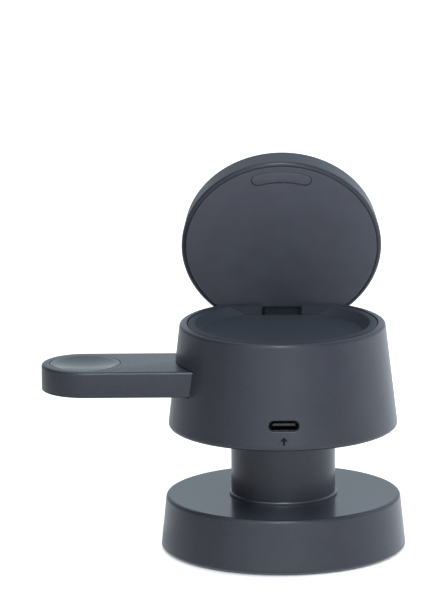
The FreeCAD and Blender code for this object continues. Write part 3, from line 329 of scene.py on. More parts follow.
def evaluated(carrier):
    """Plain mesh of an object as its modifiers leave it."""
    graph = bpy.context.evaluated_depsgraph_get()
    return bpy.data.meshes.new_from_object(carrier.evaluated_get(graph), depsgraph=graph)


def grown(tree, points, inputs):
    """Plain mesh that a node tree makes from points, its inputs set by their identifiers."""
    start = bpy.data.meshes.new("points")
    start.from_pydata([tuple(point) for point in points], [], [])
    carrier = bpy.data.objects.new("carrier", start)
    scene.collection.objects.link(carrier)
    modifier = carrier.modifiers.new("grow", "NODES")
    modifier.node_group = tree
    sockets = [item for item in tree.interface.items_tree if item.in_out == "INPUT"]
    identifiers = {item.name: item.identifier for item in sockets}
    for name, setting in inputs.items():
        modifier[identifiers[name]] = setting
    mesh = evaluated(carrier)
    carrier.modifiers.remove(modifier)
    bpy.data.objects.remove(carrier)
    return mesh


countersunk = screw_tree()


def screws(name, modelled, points, axis, length, body):
    """Set of screws that stands for a modelled set; axis is the way the heads look."""
    mesh = grown(countersunk, points, {
        **screw_sizes, "Length": length, "Axis": axis, "Steel": screw_steel})
    piece(name, mesh, screw_steel, body, modelled)


def screws_from_below(name, modelled, height, body):
    """Four upright screws in a rectangle, their heads looking down at a height."""
    low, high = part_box(modelled)
    inset = screw_sizes["Head radius"]
    points = [(x, y, height) for x in (low.x + inset, high.x - inset)
              for y in (low.y + inset, high.y - inset)]
    length = high.z - low.z - screw_sizes["Socket depth"]
    screws(name, modelled, points, (0, 0, -1), length, body)


screws_from_below("base_screw_set", "base_screws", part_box("base_screws")[0].z, "base")

# Base shell: a moulded plastic cup in a fine satin texture, closed below by the screwed plate.
# Its side leans in a little, its edges are softened, and a groove in its smoother deck holds
# the slide ring.
base_low, base_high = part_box("base_shell")
ring_low, ring_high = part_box("swivel_ring")
base_radius = 35.4 * MM
base_crown_radius = 33.85 * MM
base_edge = 1.0 * MM
skirt_edge = 0.7 * MM
base_wall = 2.2 * MM
base_deck = 2.4 * MM
spindle_bore = 4.05 * MM
ring_bore = 8.5 * MM
ring_gap = 0.1 * MM
level_normal = 0.99
slate = (0.037, 0.0365, 0.0475)
texture_fineness = 4200.0
mottle_fineness = 150.0
mottle = 0.07


def satin_plastic(name, colour, roughness, texture, specular=0.5):
    """Plastic with the fine sparkle of an eroded mould."""
    finish = Finish(name, specular=specular)
    grain = finish.grain(texture_fineness, grain_detail)
    finish.colour(finish.grain(mottle_fineness), colour, mottle)
    finish.rough(grain, roughness)
    finish.bump(grain, texture)
    return finish.material


body_plastic = satin_plastic("body_plastic", slate, roughness=(0.26, 0.34), texture=0.008 * MM,
                             specular=0.4)
deck_plastic = satin_plastic("deck_plastic", slate, roughness=(0.17, 0.23), texture=0.002 * MM,
                             specular=0.35)
base_mesh = turned(softened([
    (spindle_bore, base_high.z - base_deck, 0),
    (spindle_bore, base_high.z, 0),
    (ring_bore, base_high.z, 0),
    (ring_bore, ring_low.z, 0),
    (ring_high.x + ring_gap, ring_low.z, 0),
    (ring_high.x + ring_gap, base_high.z, 0),
    (base_crown_radius, base_high.z, base_edge),
    (base_radius, base_low.z, skirt_edge),
    (base_radius - base_wall, base_low.z, 0),
    (base_crown_radius - base_wall, base_high.z - base_deck, 0),
]), steps=256)
piece("base_cup", base_mesh, body_plastic, "base", "base_shell")
base_mesh.materials.append(deck_plastic)
for face in base_mesh.polygons:
    face.material_index = int(face.normal.z > level_normal)

# Spindle: a turned steel shaft whose flange is screwed to the column's floor, so that the head
# swivels. A washer and a nut hold it under the base's deck. All keep their modelled shape.
dress(bare_steel, "spindle", "thrust_washer", "spindle_nut", "spindle_screws")

# Column: a moulded tube that stands on the slide ring and swivels with the head.
# A low polished bead round its foot all but closes the gap to the deck, and screws hold its top
# to the head.
column_low, column_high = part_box("column")
collar_radius = column_high.x
column_radius = 15.05 * MM
collar_clearance = 0.05 * MM
collar_height = 0.6 * MM
collar_edge = 0.5 * MM
column_wall = 2.4 * MM
column_floor = 2.6 * MM
seam_step = 0.01 * MM
collar_foot = base_high.z + collar_clearance
collar_top = column_low.z + collar_height
collar_plastic = satin_plastic("collar_plastic", slate, roughness=(0.18, 0.22),
                               texture=0.001 * MM, specular=0.9)
column_mesh = turned(softened([
    (spindle_bore, column_low.z, 0),
    (column_radius, column_low.z, 0),
    (column_radius, collar_foot, 0),
    (collar_radius, collar_foot, 0),
    (collar_radius, collar_top, collar_edge),
    (column_radius, collar_top, 0),
    (column_radius, column_high.z, 0),
    (column_radius - column_wall, column_high.z, 0),
    (column_radius - column_wall, column_low.z + column_floor, 0),
    (spindle_bore, column_low.z + column_floor, 0),
]))
piece("column_tube", column_mesh, body_plastic, "head", "column")
column_mesh.materials.append(collar_plastic)
for face in column_mesh.polygons:
    face.material_index = int(face.center.xy.length > column_radius + seam_step)
dress(bare_steel, "column_screws")

# Head plate: the moulded bottom of the head, with the main board on its posts.
# Countersunk screws from below hold it to the shell and to the arm's guide.
head_plate_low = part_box("head_plate")[0].z
board_mask = grained("board_mask", (0.02, 0.09, 0.04), spread=0.3, roughness=(0.3, 0.45),
                     fineness=400.0, depth=0.006 * MM)
dress(body_plastic, "head_plate")
dress(inner_plastic, "arm_guide", "board_parts")
screws_from_below("head_screw_set", "head_screws", head_plate_low, "head")
screws_from_below("guide_screw_set", "guide_screws", head_plate_low, "head")
dress(board_mask, "main_board")
dress(bare_steel, "board_screws")

# Head shell: a moulded cone with the tray's recess in its top and the hinge's pocket at its back.
# The arm slides through a slot in its side, and the inlet's opening is in its front wall.
mounts = {mount["name"]: mount for mount in frame["record"]["mounts"]}
joints = {joint["name"]: joint for joint in frame["joints"]}
head_low, head_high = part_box("head_shell")
arm_low, arm_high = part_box("arm_shell")
inlet = Vector(mounts["power_inlet"]["pos_m"])
hinge = Vector(joints["pad_fold"]["pos_m"])
head_foot, head_top = head_low.z, head_high.z
head_foot_radius = 33.25 * MM
head_crown_radius = 29.7 * MM
head_crown_edge = 1.0 * MM
head_foot_edge = 1.2 * MM
head_wall = 2.0 * MM
wall_lean = math.atan((head_foot_radius - head_crown_radius) / (head_top - head_foot))
tray_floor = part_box("tray_insert")[0].z
tray_radius = 27.4 * MM
tray_edge = 0.35 * MM
deck_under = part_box("tray_coil")[1].z
land_front = 20.6 * MM
land_root = tray_floor - 0.3 * MM
port_radius = 1.85 * MM
port_half_flat = 2.85 * MM
port_mouth = 0.01 * MM
port_lip = 0.35 * MM
port_throat = 0.55 * MM
port_depth = 6.0 * MM
arm_gap = 0.25 * MM
block_radius = head_crown_radius - head_wall / 4
block_half = 9.5 * MM
block_depth = 5.0 * MM
block_top = tray_floor - 0.4 * MM
pocket_half = 5.8 * MM
pocket_reach = 4.6 * MM
pocket_room = 3.5 * MM
pocket_lap = 0.1 * MM
stop_lip = 57.0 * MM
relief_half = 17.5 * MM
relief_radius = 8.31 * MM
overrun = 3.0 * MM
hair = 0.001 * MM
along_x = Matrix(((0, 0, 1, 0), (1, 0, 0, 0), (0, 1, 0, 0), (0, 0, 0, 1)))
along_y = Matrix(((1, 0, 0, 0), (0, 0, 1, 0), (0, 1, 0, 0), (0, 0, 0, 1)))


def stacked(levels, lay=None):
    """Closed solid through (outline, height) levels of as many points each, laid by a matrix."""
    made = bmesh.new()
    rings = [[made.verts.new((x, y, height)) for x, y in outline] for outline, height in levels]
    made.faces.new(rings[0])
    made.faces.new(rings[-1])
    for lower, upper in zip(rings, rings[1:]):
        for index in range(len(lower)):
            made.faces.new((lower[index - 1], lower[index], upper[index], upper[index - 1]))
    if lay:
        bmesh.ops.transform(made, matrix=lay, verts=made.verts)
    return mesh_of(made)


def prism(outline, ends, lay=None):
    """Solid with one outline between two ends."""
    return stacked([(outline, end) for end in ends], lay)


def slab(x_range, y_range, z_range):
    """Square-edged block."""
    (left, right), (front, back) = x_range, y_range
    return prism(((left, front), (right, front), (right, back), (left, back)), z_range)


def quarter(parts):
    """Angles of a quarter turn."""
    return [math.pi / 2 * part / parts for part in range(parts + 1)]


def stadium(radius, half_flat, parts=20):
    """Outline with straight sides and round ends."""
    turns = [math.pi * part / parts - math.pi / 2 for part in range(parts + 1)]
    right = [(half_flat + radius * math.cos(turn), radius * math.sin(turn)) for turn in turns]
    return right + [(-x, -y) for x, y in right]


def back_segment(radius, front, half, parts=40):
    """Outline of a disc's part behind a straight front, no wider than twice half."""
    side = math.asin(min(half, math.sqrt(radius ** 2 - front ** 2)) / radius)
    turns = [side - 2 * side * part / parts for part in range(parts + 1)]
    arc = [(radius * math.sin(turn), radius * math.cos(turn)) for turn in turns]
    if arc[0][1] - front > hair:
        return [(arc[-1][0], front), (arc[0][0], front)] + arc
    return arc


def carved(mesh, added=(), removed=()):
    """Mesh joined with other meshes, and then with others cut away from it."""
    whole = bpy.data.objects.new("whole", mesh)
    spent = [whole]
    for operation, tools in (("UNION", added), ("DIFFERENCE", removed)):
        for tool_mesh in tools:
            tool = bpy.data.objects.new("tool", tool_mesh)
            spent.append(tool)
            modifier = whole.modifiers.new("carve", "BOOLEAN")
            modifier.operation, modifier.solver, modifier.object = operation, "EXACT", tool
    for made in spent:
        scene.collection.objects.link(made)
    result = evaluated(whole)
    for made in spent:
        bpy.data.objects.remove(made)
    return result


def cone_radius(height):
    """Outside of the head at a height."""
    return head_foot_radius - (height - head_foot) * math.tan(wall_lean)


def port_cutter():
    """Cutter for the inlet: a rounded lip that follows the cone, a throat, and room behind it."""
    levels = [(port_radius, -overrun), (port_radius, port_mouth)]
    levels += [(port_radius - port_lip * math.sin(turn), port_lip * (1 - math.cos(turn)))
               for turn in quarter(parts=6)[1:]]
    levels += [(port_radius - port_lip, port_throat), (port_radius, port_throat),
               (port_radius, port_depth)]
    cutter = stacked([(stadium(radius, port_half_flat), depth) for radius, depth in levels],
                     Matrix.Translation((0, 0, inlet.z)) @ along_y)
    for point in cutter.vertices:
        point.co.y -= math.sqrt(cone_radius(point.co.z) ** 2 - point.co.x ** 2)
    return cutter


outside = head_foot_radius + overrun
above = head_top + overrun
lip_y = hinge.y + pocket_reach
relief_outline = [
    *((hinge.y + relief_radius * math.sin(turn), hinge.z + relief_radius * math.cos(turn))
      for turn in quarter(parts=24)),
    (outside, hinge.z), (outside, above), (hinge.y, above)]
land_outline = back_segment(tray_radius + 2 * tray_edge, land_front, tray_radius)
block_outline = back_segment(block_radius, hinge.y - block_depth, block_half)
cone_mesh = turned(softened([
    (0, tray_floor, 0),
    (tray_radius, tray_floor, 0),
    (tray_radius, head_top, tray_edge),
    (head_crown_radius, head_top, head_crown_edge),
    (head_foot_radius, head_foot, head_foot_edge),
    (head_foot_radius - head_wall, head_foot, 0),
    (head_crown_radius - head_wall, deck_under, 0),
    (0, deck_under, 0),
], parts=8), steps=320)
head_mesh = carved(
    cone_mesh,
    added=[
        prism(land_outline, (land_root, head_top)),
        prism(block_outline, (hinge.z - block_depth, block_top)),
    ],
    removed=[
        slab((-outside, -head_wall), (arm_low.y - arm_gap, arm_high.y + arm_gap),
             (arm_low.z - arm_gap, arm_high.z + arm_gap)),
        port_cutter(),
        slab((-pocket_half, pocket_half), (hinge.y - pocket_room, lip_y),
             (hinge.z - pocket_room, above)),
        slab((-pocket_half, pocket_half), (lip_y - pocket_lap, outside), (stop_lip, above)),
        prism(relief_outline, (-relief_half, relief_half), along_x),
    ])
piece("head_cone", head_mesh, body_plastic, "head", "head_shell")

# Inlet: a drawn steel socket shell on the board's edge, with a moulded tongue between its walls.
# Gilt contacts lie in a row on both sides of the tongue.
socket_low, socket_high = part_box("inlet_socket")
tongue_low, tongue_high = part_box("inlet_tongue")
socket_radius = (socket_high.z - socket_low.z) / 2
socket_half_flat = socket_high.x - socket_radius
socket_wall = 0.3 * MM
socket_lip = 0.1 * MM
socket_length = socket_high.y - socket_low.y
tongue_edge = 0.15 * MM
contact_count = 12
contact_setback = 0.3 * MM
contact_sizes = {"Pitch": 0.5 * MM, "Width": 0.27 * MM, "Length": 4.0 * MM, "Height": 0.06 * MM}
sharp = math.radians(40)
# The shell's steel is painted near black: painted shade deep in the inlet's opening.
socket_steel_painted_shade = grained("socket_steel_painted_shade", (0.03, 0.03, 0.032), spread=0.1, roughness=(0.3, 0.42),
                       fineness=1600.0, depth=0.003 * MM, metallic=1.0)
tongue_plastic = grained("tongue_plastic", (0.03, 0.029, 0.028), spread=0.12,
                         roughness=(0.45, 0.6), fineness=1500.0, depth=0.004 * MM)
gilt = grained("gilt", (0.75, 0.55, 0.22), spread=0.06, roughness=(0.25, 0.35),
               fineness=1500.0, depth=0.001 * MM, metallic=1.0)


def eased(mesh, width, parts=3):
    """Mesh with its sharp edges rounded over."""
    carrier = bpy.data.objects.new("carrier", mesh)
    scene.collection.objects.link(carrier)
    bevel = carrier.modifiers.new("ease", "BEVEL")
    bevel.width, bevel.segments = width, parts
    bevel.limit_method, bevel.angle_limit = "ANGLE", sharp
    result = evaluated(carrier)
    bpy.data.objects.remove(carrier)
    return result


def contact_tree():
    """Node tree that lays a row of flat contacts along X from each point."""
    lengths = dict.fromkeys(contact_sizes, "Float")
    tree, given, result = node_group(
        "contact_row", {"Count": "Int", **lengths, "Gilt": "Material"})
    step = wired(tree, "ShaderNodeCombineXYZ", {"X": given["Pitch"]})["Vector"]
    size = wired(tree, "ShaderNodeCombineXYZ", {
        "X": given["Width"], "Y": given["Length"], "Z": given["Height"]})["Vector"]
    line = wired(tree, "GeometryNodeMeshLine", {
        "Count": given["Count"], "Offset": step})["Mesh"]
    contact = wired(tree, "GeometryNodeMeshCube", {"Size": size})["Mesh"]
    row = wired(tree, "GeometryNodeInstanceOnPoints", {
        "Points": line, "Instance": contact})["Instances"]
    rows = wired(tree, "GeometryNodeInstanceOnPoints", {
        "Points": given["Geometry"], "Instance": row})["Instances"]
    tree.links.new(realized(tree, rows, given["Gilt"]), result)
    return tree


socket_levels = (
    (socket_radius, socket_length),
    (socket_radius, socket_lip),
    (socket_radius - socket_lip, 0),
    (socket_radius - socket_wall + socket_lip, 0),
    (socket_radius - socket_wall, socket_lip),
    (socket_radius - socket_wall, socket_length - socket_wall),
)
socket_mesh = stacked(
    [(stadium(radius, socket_half_flat), depth) for radius, depth in socket_levels],
    Matrix.Translation((0, socket_low.y, inlet.z)) @ along_y)
piece("socket_shell", socket_mesh, socket_steel_painted_shade, "head", "inlet_socket")
tongue_mesh = eased(slab(*zip(tongue_low, tongue_high)), tongue_edge)
piece("socket_tongue", tongue_mesh, tongue_plastic, "head", "inlet_tongue")
row_start = (1 - contact_count) / 2 * contact_sizes["Pitch"]
row_y = tongue_low.y + contact_setback + contact_sizes["Length"] / 2
contact_mesh = grown(
    contact_tree(), [(row_start, row_y, height) for height in (tongue_low.z, tongue_high.z)],
    {**contact_sizes, "Count": contact_count, "Gilt": gilt})
piece("contacts", contact_mesh, gilt, "head")

# Inlet mark: a small plain arrow, pad-printed in dark ink on the wall below the inlet.
# The ink is a film that stands a hair above the plastic.
mark_drop = 4.3 * MM
mark_half = 1.2 * MM
mark_stem = 0.32 * MM
ink_film = 0.03 * MM
ink_root = -2 * ink_film
mark_z = inlet.z - mark_drop
print_ink = grained("print_ink", (0.006, 0.006, 0.007), spread=0.2, roughness=(0.5, 0.65),
                    fineness=3000.0, depth=0.002 * MM, specular=0.1)
arrow = ((0, mark_half), (-mark_half, 0), (-mark_stem, 0), (-mark_stem, -mark_half),
         (mark_stem, -mark_half), (mark_stem, 0), (mark_half, 0))
mark_lay = (Matrix.Translation((0, -cone_radius(mark_z), mark_z))
            @ Matrix.Rotation(math.radians(90) - wall_lean, 4, "X"))
mark_mesh = prism(arrow, (ink_root, ink_film), mark_lay)
piece("inlet_mark", mark_mesh, print_ink, "head")

# Tray insert: a soft dished liner, moulded in silicone and bonded in the head's recess.
# It is cut straight along the hinge; coil and ferrite lie under the deck below it.
insert_low, insert_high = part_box("tray_insert")
insert_radius = 27.3 * MM
insert_edge = 0.3 * MM
dish_radius = 25.2 * MM
dish_lip = 0.6 * MM
dish_floor_radius = 23.0 * MM
dish_floor = mounts["tray_floor"]["pos_m"][2]
wire_pitch = 0.5 * MM
wire_relief = 0.08 * MM
wire_fineness = 900.0
wire_roughness = (0.3, 0.42)
enamelled_copper = (0.55, 0.26, 0.12)
soft_face = grained("soft_face", (0.03, 0.034, 0.044), spread=0.08, roughness=(0.48, 0.6),
                    fineness=2600.0, depth=0.006 * MM)
ferrite = grained("ferrite", (0.035, 0.034, 0.035), spread=0.2, roughness=(0.55, 0.75),
                  fineness=1400.0, depth=0.02 * MM)


def winding(name, centre, turn):
    """Enamelled copper wound in a flat spiral about an axis."""
    finish = Finish(name, metallic=1.0)
    rings = finish.rings(centre, turn, wire_pitch)
    finish.colour(rings, enamelled_copper, spread=0.3)
    finish.rough(finish.grain(wire_fineness), wire_roughness)
    finish.bump(rings, wire_relief)
    return finish.material


insert_mesh = carved(
    turned(softened([
        (0, insert_low.z, 0),
        (insert_radius, insert_low.z, 0),
        (insert_radius, insert_high.z, insert_edge),
        (dish_radius, insert_high.z, dish_lip),
        (dish_floor_radius, dish_floor, dish_lip),
        (0, dish_floor, 0),
    ]), steps=256),
    removed=[slab((-insert_radius, insert_radius), (insert_high.y, head_foot_radius),
                  (insert_low.z - overrun, insert_high.z + overrun))])
piece("tray_liner", insert_mesh, soft_face, "head", "tray_insert")
dress(winding("tray_winding", centre=(0, 0, 0), turn=(0, 0, 0)), "tray_coil")
dress(ferrite, "tray_ferrite")

# Hinge: a ground steel pin through the head's cheeks, with friction washers beside the cast arm's
# eye. The arm is zinc, painted like the body, and two screws hold its foot in the pad's back.
pad_axis = Vector(mounts["pad_face"]["axis"])
pad_thickness = 7.5 * MM
pad_origin = Vector(mounts["pad_face"]["pos_m"]) - pad_axis * pad_thickness
pad_lay = Matrix.Translation(pad_origin) @ Matrix.Rotation(-math.acos(pad_axis.z), 4, "X")
eye_y = hinge.y
eye_drop = 8.66 * MM
eye_radius = 3.2 * MM
eye_parts = 40
pin_room = 1.55 * MM
lever_half = 5.0 * MM
lever_half_depth = 2.5 * MM
lever_edge = 0.35 * MM
lever_foot_x = (-8.0 * MM, 8.0 * MM)
lever_foot_y = (20.9 * MM, 25.9 * MM)
lever_foot_z = (-0.1 * MM, 1.4 * MM)
hinge_screw_spread = 6.4 * MM
hinge_screw_y = 23.4 * MM
hinge_screw_sink = -0.02 * MM
hinge_screw_length = 2.4 * MM
hinge_paint = grained("hinge_paint", (0.04, 0.045, 0.056), spread=0.1, roughness=(0.34, 0.46),
                      fineness=1800.0, depth=0.008 * MM, metallic=0.4)


def on_pad(mesh):
    """Stand a mesh, drawn flat about the pad's middle with its back at height 0, on the pad."""
    mesh.transform(pad_lay)
    return mesh


def round_rod(radius, ends, lay, parts=48):
    """Round rod between two ends, laid by a matrix."""
    return prism(stadium(radius, 0.0, parts // 2), ends, lay)


eye_start = math.asin(lever_half_depth / eye_radius)
eye_sweep = 2 * math.pi - 2 * eye_start
eye_turns = [eye_start + eye_sweep * part / eye_parts for part in range(eye_parts + 1)]
lever_outline = [
    *((eye_y + eye_radius * math.sin(turn), eye_radius * math.cos(turn) - eye_drop)
      for turn in eye_turns),
    (eye_y - lever_half_depth, 0), (eye_y + lever_half_depth, 0)]
lever_mesh = carved(
    eased(prism(lever_outline, (-lever_half, lever_half), along_x), lever_edge),
    added=[slab(lever_foot_x, lever_foot_y, lever_foot_z)],
    removed=[round_rod(pin_room, (-2 * lever_half, 2 * lever_half),
                       Matrix.Translation((0, eye_y, -eye_drop)) @ along_x)])
dress(bare_steel, "hinge_pin", "hinge_washers")
piece("hinge_lever", on_pad(lever_mesh), hinge_paint, "pad", "hinge_arm")
hinge_points = [pad_lay @ Vector((x, hinge_screw_y, hinge_screw_sink))
                for x in (-hinge_screw_spread, hinge_screw_spread)]
screws("hinge_screw_set", "hinge_screws", hinge_points, -pad_axis, hinge_screw_length, "pad")

# Pad shell: a moulded cup, open at its back, with softened edges and a shallow recess for its
# face. Magnets, coil, ferrite and board are bonded inside it.
pad_back_radius = 29.2 * MM
pad_front_radius = 28.2 * MM
pad_back_edge = 0.9 * MM
pad_front_edge = 0.6 * MM
face_radius = 26.6 * MM
face_height = 0.6 * MM
cover_radius = 27.8 * MM
cover_height = 1.6 * MM
seam = 0.1 * MM
pad_room = 26.0 * MM
pad_front_wall = 1.2 * MM
face_floor = pad_thickness - face_height
magnet_plate = grained("magnet_plate", (0.55, 0.55, 0.54), spread=0.06, roughness=(0.2, 0.32),
                       fineness=800.0, depth=0.003 * MM, metallic=1.0)
pad_mesh = turned(softened([
    (pad_back_radius, 0, pad_back_edge),
    (pad_front_radius, pad_thickness, pad_front_edge),
    (face_radius + seam, pad_thickness, 0),
    (face_radius + seam, face_floor, 0),
    (0, face_floor, 0),
    (0, face_floor - pad_front_wall, 0),
    (pad_room, face_floor - pad_front_wall, 0),
    (pad_room, cover_height, 0),
    (cover_radius + seam, cover_height, 0),
    (cover_radius + seam, 0, 0),
], parts=8), steps=256)
piece("pad_cup", on_pad(pad_mesh), body_plastic, "pad", "pad_shell")
dress(magnet_plate, "pad_magnets")
dress(winding("pad_winding", centre=pad_origin, turn=pad_lay.to_euler()), "pad_coil")
dress(ferrite, "pad_ferrite")
dress(board_mask, "pad_board")
dress(inner_plastic, "pad_switch")

# Pad face: a soft silicone disc, moulded flat and bonded in the shell's recess.
# Its rim is rounded and sits level with the shell.
face_edge = 0.25 * MM
face_mesh = turned(softened([
    (0, face_floor, 0),
    (face_radius, face_floor, 0),
    (face_radius, pad_thickness, face_edge),
    (0, pad_thickness, 0),
]), steps=256)
piece("pad_liner", on_pad(face_mesh), soft_face, "pad", "pad_face")

# Back cover: a moulded disc with a coarser matt texture, snapped into the back of the pad.
# It has the key's opening near its top and a seat for the hinge arm's foot.
cover_edge = 0.22 * MM
key_circle = 24.15 * MM
key_half = 1.75 * MM
key_half_angle = math.radians(16.5)
key_gap = 0.15 * MM
# The cover's colour is the body's slate painted much lighter: painted bounce light on its down-turned face.
slate_with_painted_bounce = (0.099, 0.0995, 0.119)
cover_with_painted_bounce = satin_plastic("cover_with_painted_bounce", slate_with_painted_bounce, roughness=(0.44, 0.56),
                              texture=0.02 * MM)


def kidney(grow, parts=24):
    """Outline along the key's circle with round ends, grown all round."""
    half = key_half + grow
    turns = [key_half_angle * (2 * part / parts - 1) for part in range(parts + 1)]
    outer, inner = ([(radius * math.sin(turn), -radius * math.cos(turn)) for turn in turns]
                    for radius in (key_circle + half, key_circle - half))
    caps = [2 * math.pi * part / parts for part in range(1, parts // 2)]
    ends = []
    for side in (1, -1):
        middle = Vector((side * math.sin(key_half_angle), -math.cos(key_half_angle))) * key_circle
        outward = middle.normalized()
        along = Vector((-outward.y, outward.x)) * side
        ends.append([tuple(middle + half * (outward * math.cos(cap) + along * math.sin(cap)))
                     for cap in caps])
    return outer + ends[0] + inner[::-1] + ends[1][::-1]


cover_mesh = carved(
    turned(softened([
        (0, 0, 0),
        (cover_radius, 0, cover_edge),
        (cover_radius, cover_height, 0),
        (0, cover_height, 0),
    ]), steps=256),
    removed=[
        prism(kidney(key_gap), (-overrun, overrun)),
        slab((lever_foot_x[0] - seam, lever_foot_x[1] + seam),
             (lever_foot_y[0] - seam, lever_foot_y[1] + seam), (-overrun, lever_foot_z[1])),
    ])
piece("pad_cover", on_pad(cover_mesh), cover_with_painted_bounce, "pad", "pad_back_cover")

# Key: a kidney-shaped plastic cap, level with the back cover and kept in by its flange.
# Its edge is rounded over, so that a fine groove shows all round it.
key_edge = 0.3 * MM
key_height = 1.5 * MM
key_levels = [(kidney(-key_edge * (1 - math.sin(turn))), key_edge * (1 - math.cos(turn)))
              for turn in quarter(parts=5)]
key_mesh = stacked([*key_levels, (kidney(0.0), key_height)])
# The key wears the cover's colour, with the same painted bounce light.
piece("key_cap", on_pad(key_mesh), cover_with_painted_bounce, "key", "pad_key")

# Arm: a moulded bar with one round end, open below, that slides in the head's slot.
# A screwed plate closes it, and a round hole in its roof holds the puck.
arm_half = (arm_high.y - arm_low.y) / 2
arm_middle = (arm_high.y + arm_low.y) / 2
puck_x = mounts["arm_puck"]["pos_m"][0]
puck_lay = Matrix.Translation((puck_x, arm_middle, 0))
arm_edge = 0.8 * MM
arm_under_edge = 0.4 * MM
arm_wall = 1.6 * MM
arm_roof = 1.4 * MM
puck_hole = 10.3 * MM


def bar(inset, parts=64):
    """Outline of the arm, drawn in by inset."""
    half = arm_half - inset
    turns = [math.pi / 2 + math.pi * part / parts for part in range(parts + 1)]
    end = [(puck_x + half * math.cos(turn), arm_middle + half * math.sin(turn)) for turn in turns]
    root = arm_high.x - inset
    return end + [(root, arm_middle - half), (root, arm_middle + half)]


edge_turns = quarter(parts=6)
arm_levels = [
    *((bar(arm_under_edge * (1 - math.sin(turn))),
       arm_low.z + arm_under_edge * (1 - math.cos(turn))) for turn in edge_turns),
    *((bar(arm_edge * (1 - math.cos(turn))),
       arm_high.z - arm_edge * (1 - math.sin(turn))) for turn in edge_turns)]
arm_mesh = carved(stacked(arm_levels), removed=[
    prism(bar(arm_wall), (arm_low.z - overrun, arm_high.z - arm_roof)),
    round_rod(puck_hole, (arm_low.z - overrun, arm_high.z + overrun), puck_lay, parts=128),
])
piece("arm_bar", arm_mesh, body_plastic, "arm", "arm_shell")
dress(body_plastic, "arm_cover")
dress(board_mask, "arm_board")
screws_from_below("arm_screw_set", "arm_screws", arm_low.z, "arm")

# Puck: a moulded disc with a polished shallow dish, held under the arm's roof by its flange.
# Coil, ferrite and holding magnet lie below it.
puck_low, puck_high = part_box("puck")
puck_radius = 10.2 * MM
puck_edge = 0.25 * MM
puck_dish_radius = 9.2 * MM
puck_curve = 45.0 * MM
dish_parts = 12
puck_flange_radius = puck_high.x - puck_x
puck_flange_top = arm_high.z - arm_roof
curve_height = math.sqrt(puck_curve ** 2 - puck_dish_radius ** 2)
dish_radii = [puck_dish_radius * (1 - part / dish_parts) for part in range(1, dish_parts + 1)]
puck_plastic = grained("puck_plastic", (0.022, 0.024, 0.029), spread=0.06, roughness=(0.1, 0.16),
                       fineness=700.0, depth=0.001 * MM)
puck_mesh = turned(softened([
    (0, puck_low.z, 0),
    (puck_flange_radius, puck_low.z, 0),
    (puck_flange_radius, puck_flange_top, 0),
    (puck_radius, puck_flange_top, 0),
    (puck_radius, puck_high.z, puck_edge),
    (puck_dish_radius, puck_high.z, 0),
    *((radius, puck_high.z + curve_height - math.sqrt(puck_curve ** 2 - radius ** 2), 0)
      for radius in dish_radii),
]), steps=128)
puck_mesh.transform(puck_lay)
piece("puck_dish", puck_mesh, puck_plastic, "arm", "puck")
dress(winding("puck_winding", centre=(puck_x, arm_middle, 0), turn=(0, 0, 0)), "puck_coil")
dress(ferrite, "puck_ferrite")
dress(magnet_plate, "puck_magnet")

# Floor: a flat, matt, pale sheet that glows for the camera, so that it stays white. Its glow fades
# in a disc under the object, set a little to the front, which paints a contact shadow over the
# real one that the matt sheet keeps. What mirrors in the object is dimmer on the left.
# Each ramp, here and in the next section, is a span and the levels at its two ends.
floor_half = 6.0
floor_height = -0.05 * MM
floor_colour = (0.93, 0.87, 0.86, 1)
white = (1, 1, 1, 1)
studio_tint = (0.76, 0.9, 1.0, 1)
painted_shadow_middle = (0, -3.8 * MM, 0)
painted_shadow_ramp = (31.0 * MM, 36.5 * MM), (0.05, 0.82)
haze_ramp = (60.0 * MM, 500.0 * MM), (0.0, 0.15)
floor_front_ramp = (0.0, -50.0 * MM), (0.7, 0.8)
floor_left_ramp = (-120.0 * MM, 0.0), (0.25, 1.0)


def joined(tree, operation, first, second):
    """Sum, product or larger one of two sockets."""
    return wired(tree, "ShaderNodeMath", {0: first, 1: second}, operation=operation)["Value"]


def mixed(tree, kind, factor, first, second):
    """Mix of two numbers or colours."""
    return wired(tree, "ShaderNodeMix", {"Factor": factor, "A": first, "B": second},
                 data_type=kind)["Result"]


floor_mesh = bpy.data.meshes.new("floor")
floor_corners = [(-floor_half, -floor_half), (floor_half, -floor_half),
                 (floor_half, floor_half), (-floor_half, floor_half)]
floor_mesh.from_pydata([(x, y, floor_height) for x, y in floor_corners], [], [(0, 1, 2, 3)])
floor = bpy.data.objects.new("floor", floor_mesh)
scene.collection.objects.link(floor)
floor_paint = bpy.data.materials.new("floor_paint")
floor_paint.use_nodes = True
paint = floor_paint.node_tree
paint.nodes.clear()
place = wired(paint, "ShaderNodeTexCoord", {})["Object"]
# The glow is painted down in a disc round a middle set to the front: a painted contact shadow.
distance = wired(paint, "ShaderNodeVectorMath", {0: place, 1: painted_shadow_middle},
                 operation="DISTANCE")["Value"]
axes = wired(paint, "ShaderNodeSeparateXYZ", {"Vector": place})
ray = wired(paint, "ShaderNodeLightPath", {})
glow_with_painted_shadow = joined(paint, "ADD", between(paint, distance, *painted_shadow_ramp),
               between(paint, distance, *haze_ramp))
mirrored = joined(paint, "MULTIPLY", between(paint, axes["Y"], *floor_front_ramp),
                  between(paint, axes["X"], *floor_left_ramp))
brightness = mixed(paint, "FLOAT", ray["Is Camera Ray"], mirrored, glow_with_painted_shadow)
seen = joined(paint, "MAXIMUM", ray["Is Camera Ray"],
              joined(paint, "MAXIMUM", ray["Is Glossy Ray"], ray["Is Transmission Ray"]))
matte = wired(paint, "ShaderNodeBsdfDiffuse", {"Color": floor_colour})["BSDF"]
glow = wired(paint, "ShaderNodeEmission", {
    "Color": mixed(paint, "RGBA", ray["Is Camera Ray"], studio_tint, white),
    "Strength": joined(paint, "MULTIPLY", brightness, seen)})["Emission"]
both = wired(paint, "ShaderNodeAddShader", {0: matte, 1: glow})["Shader"]
wired(paint, "ShaderNodeOutputMaterial", {"Surface": both})
floor_mesh.materials.append(floor_paint)

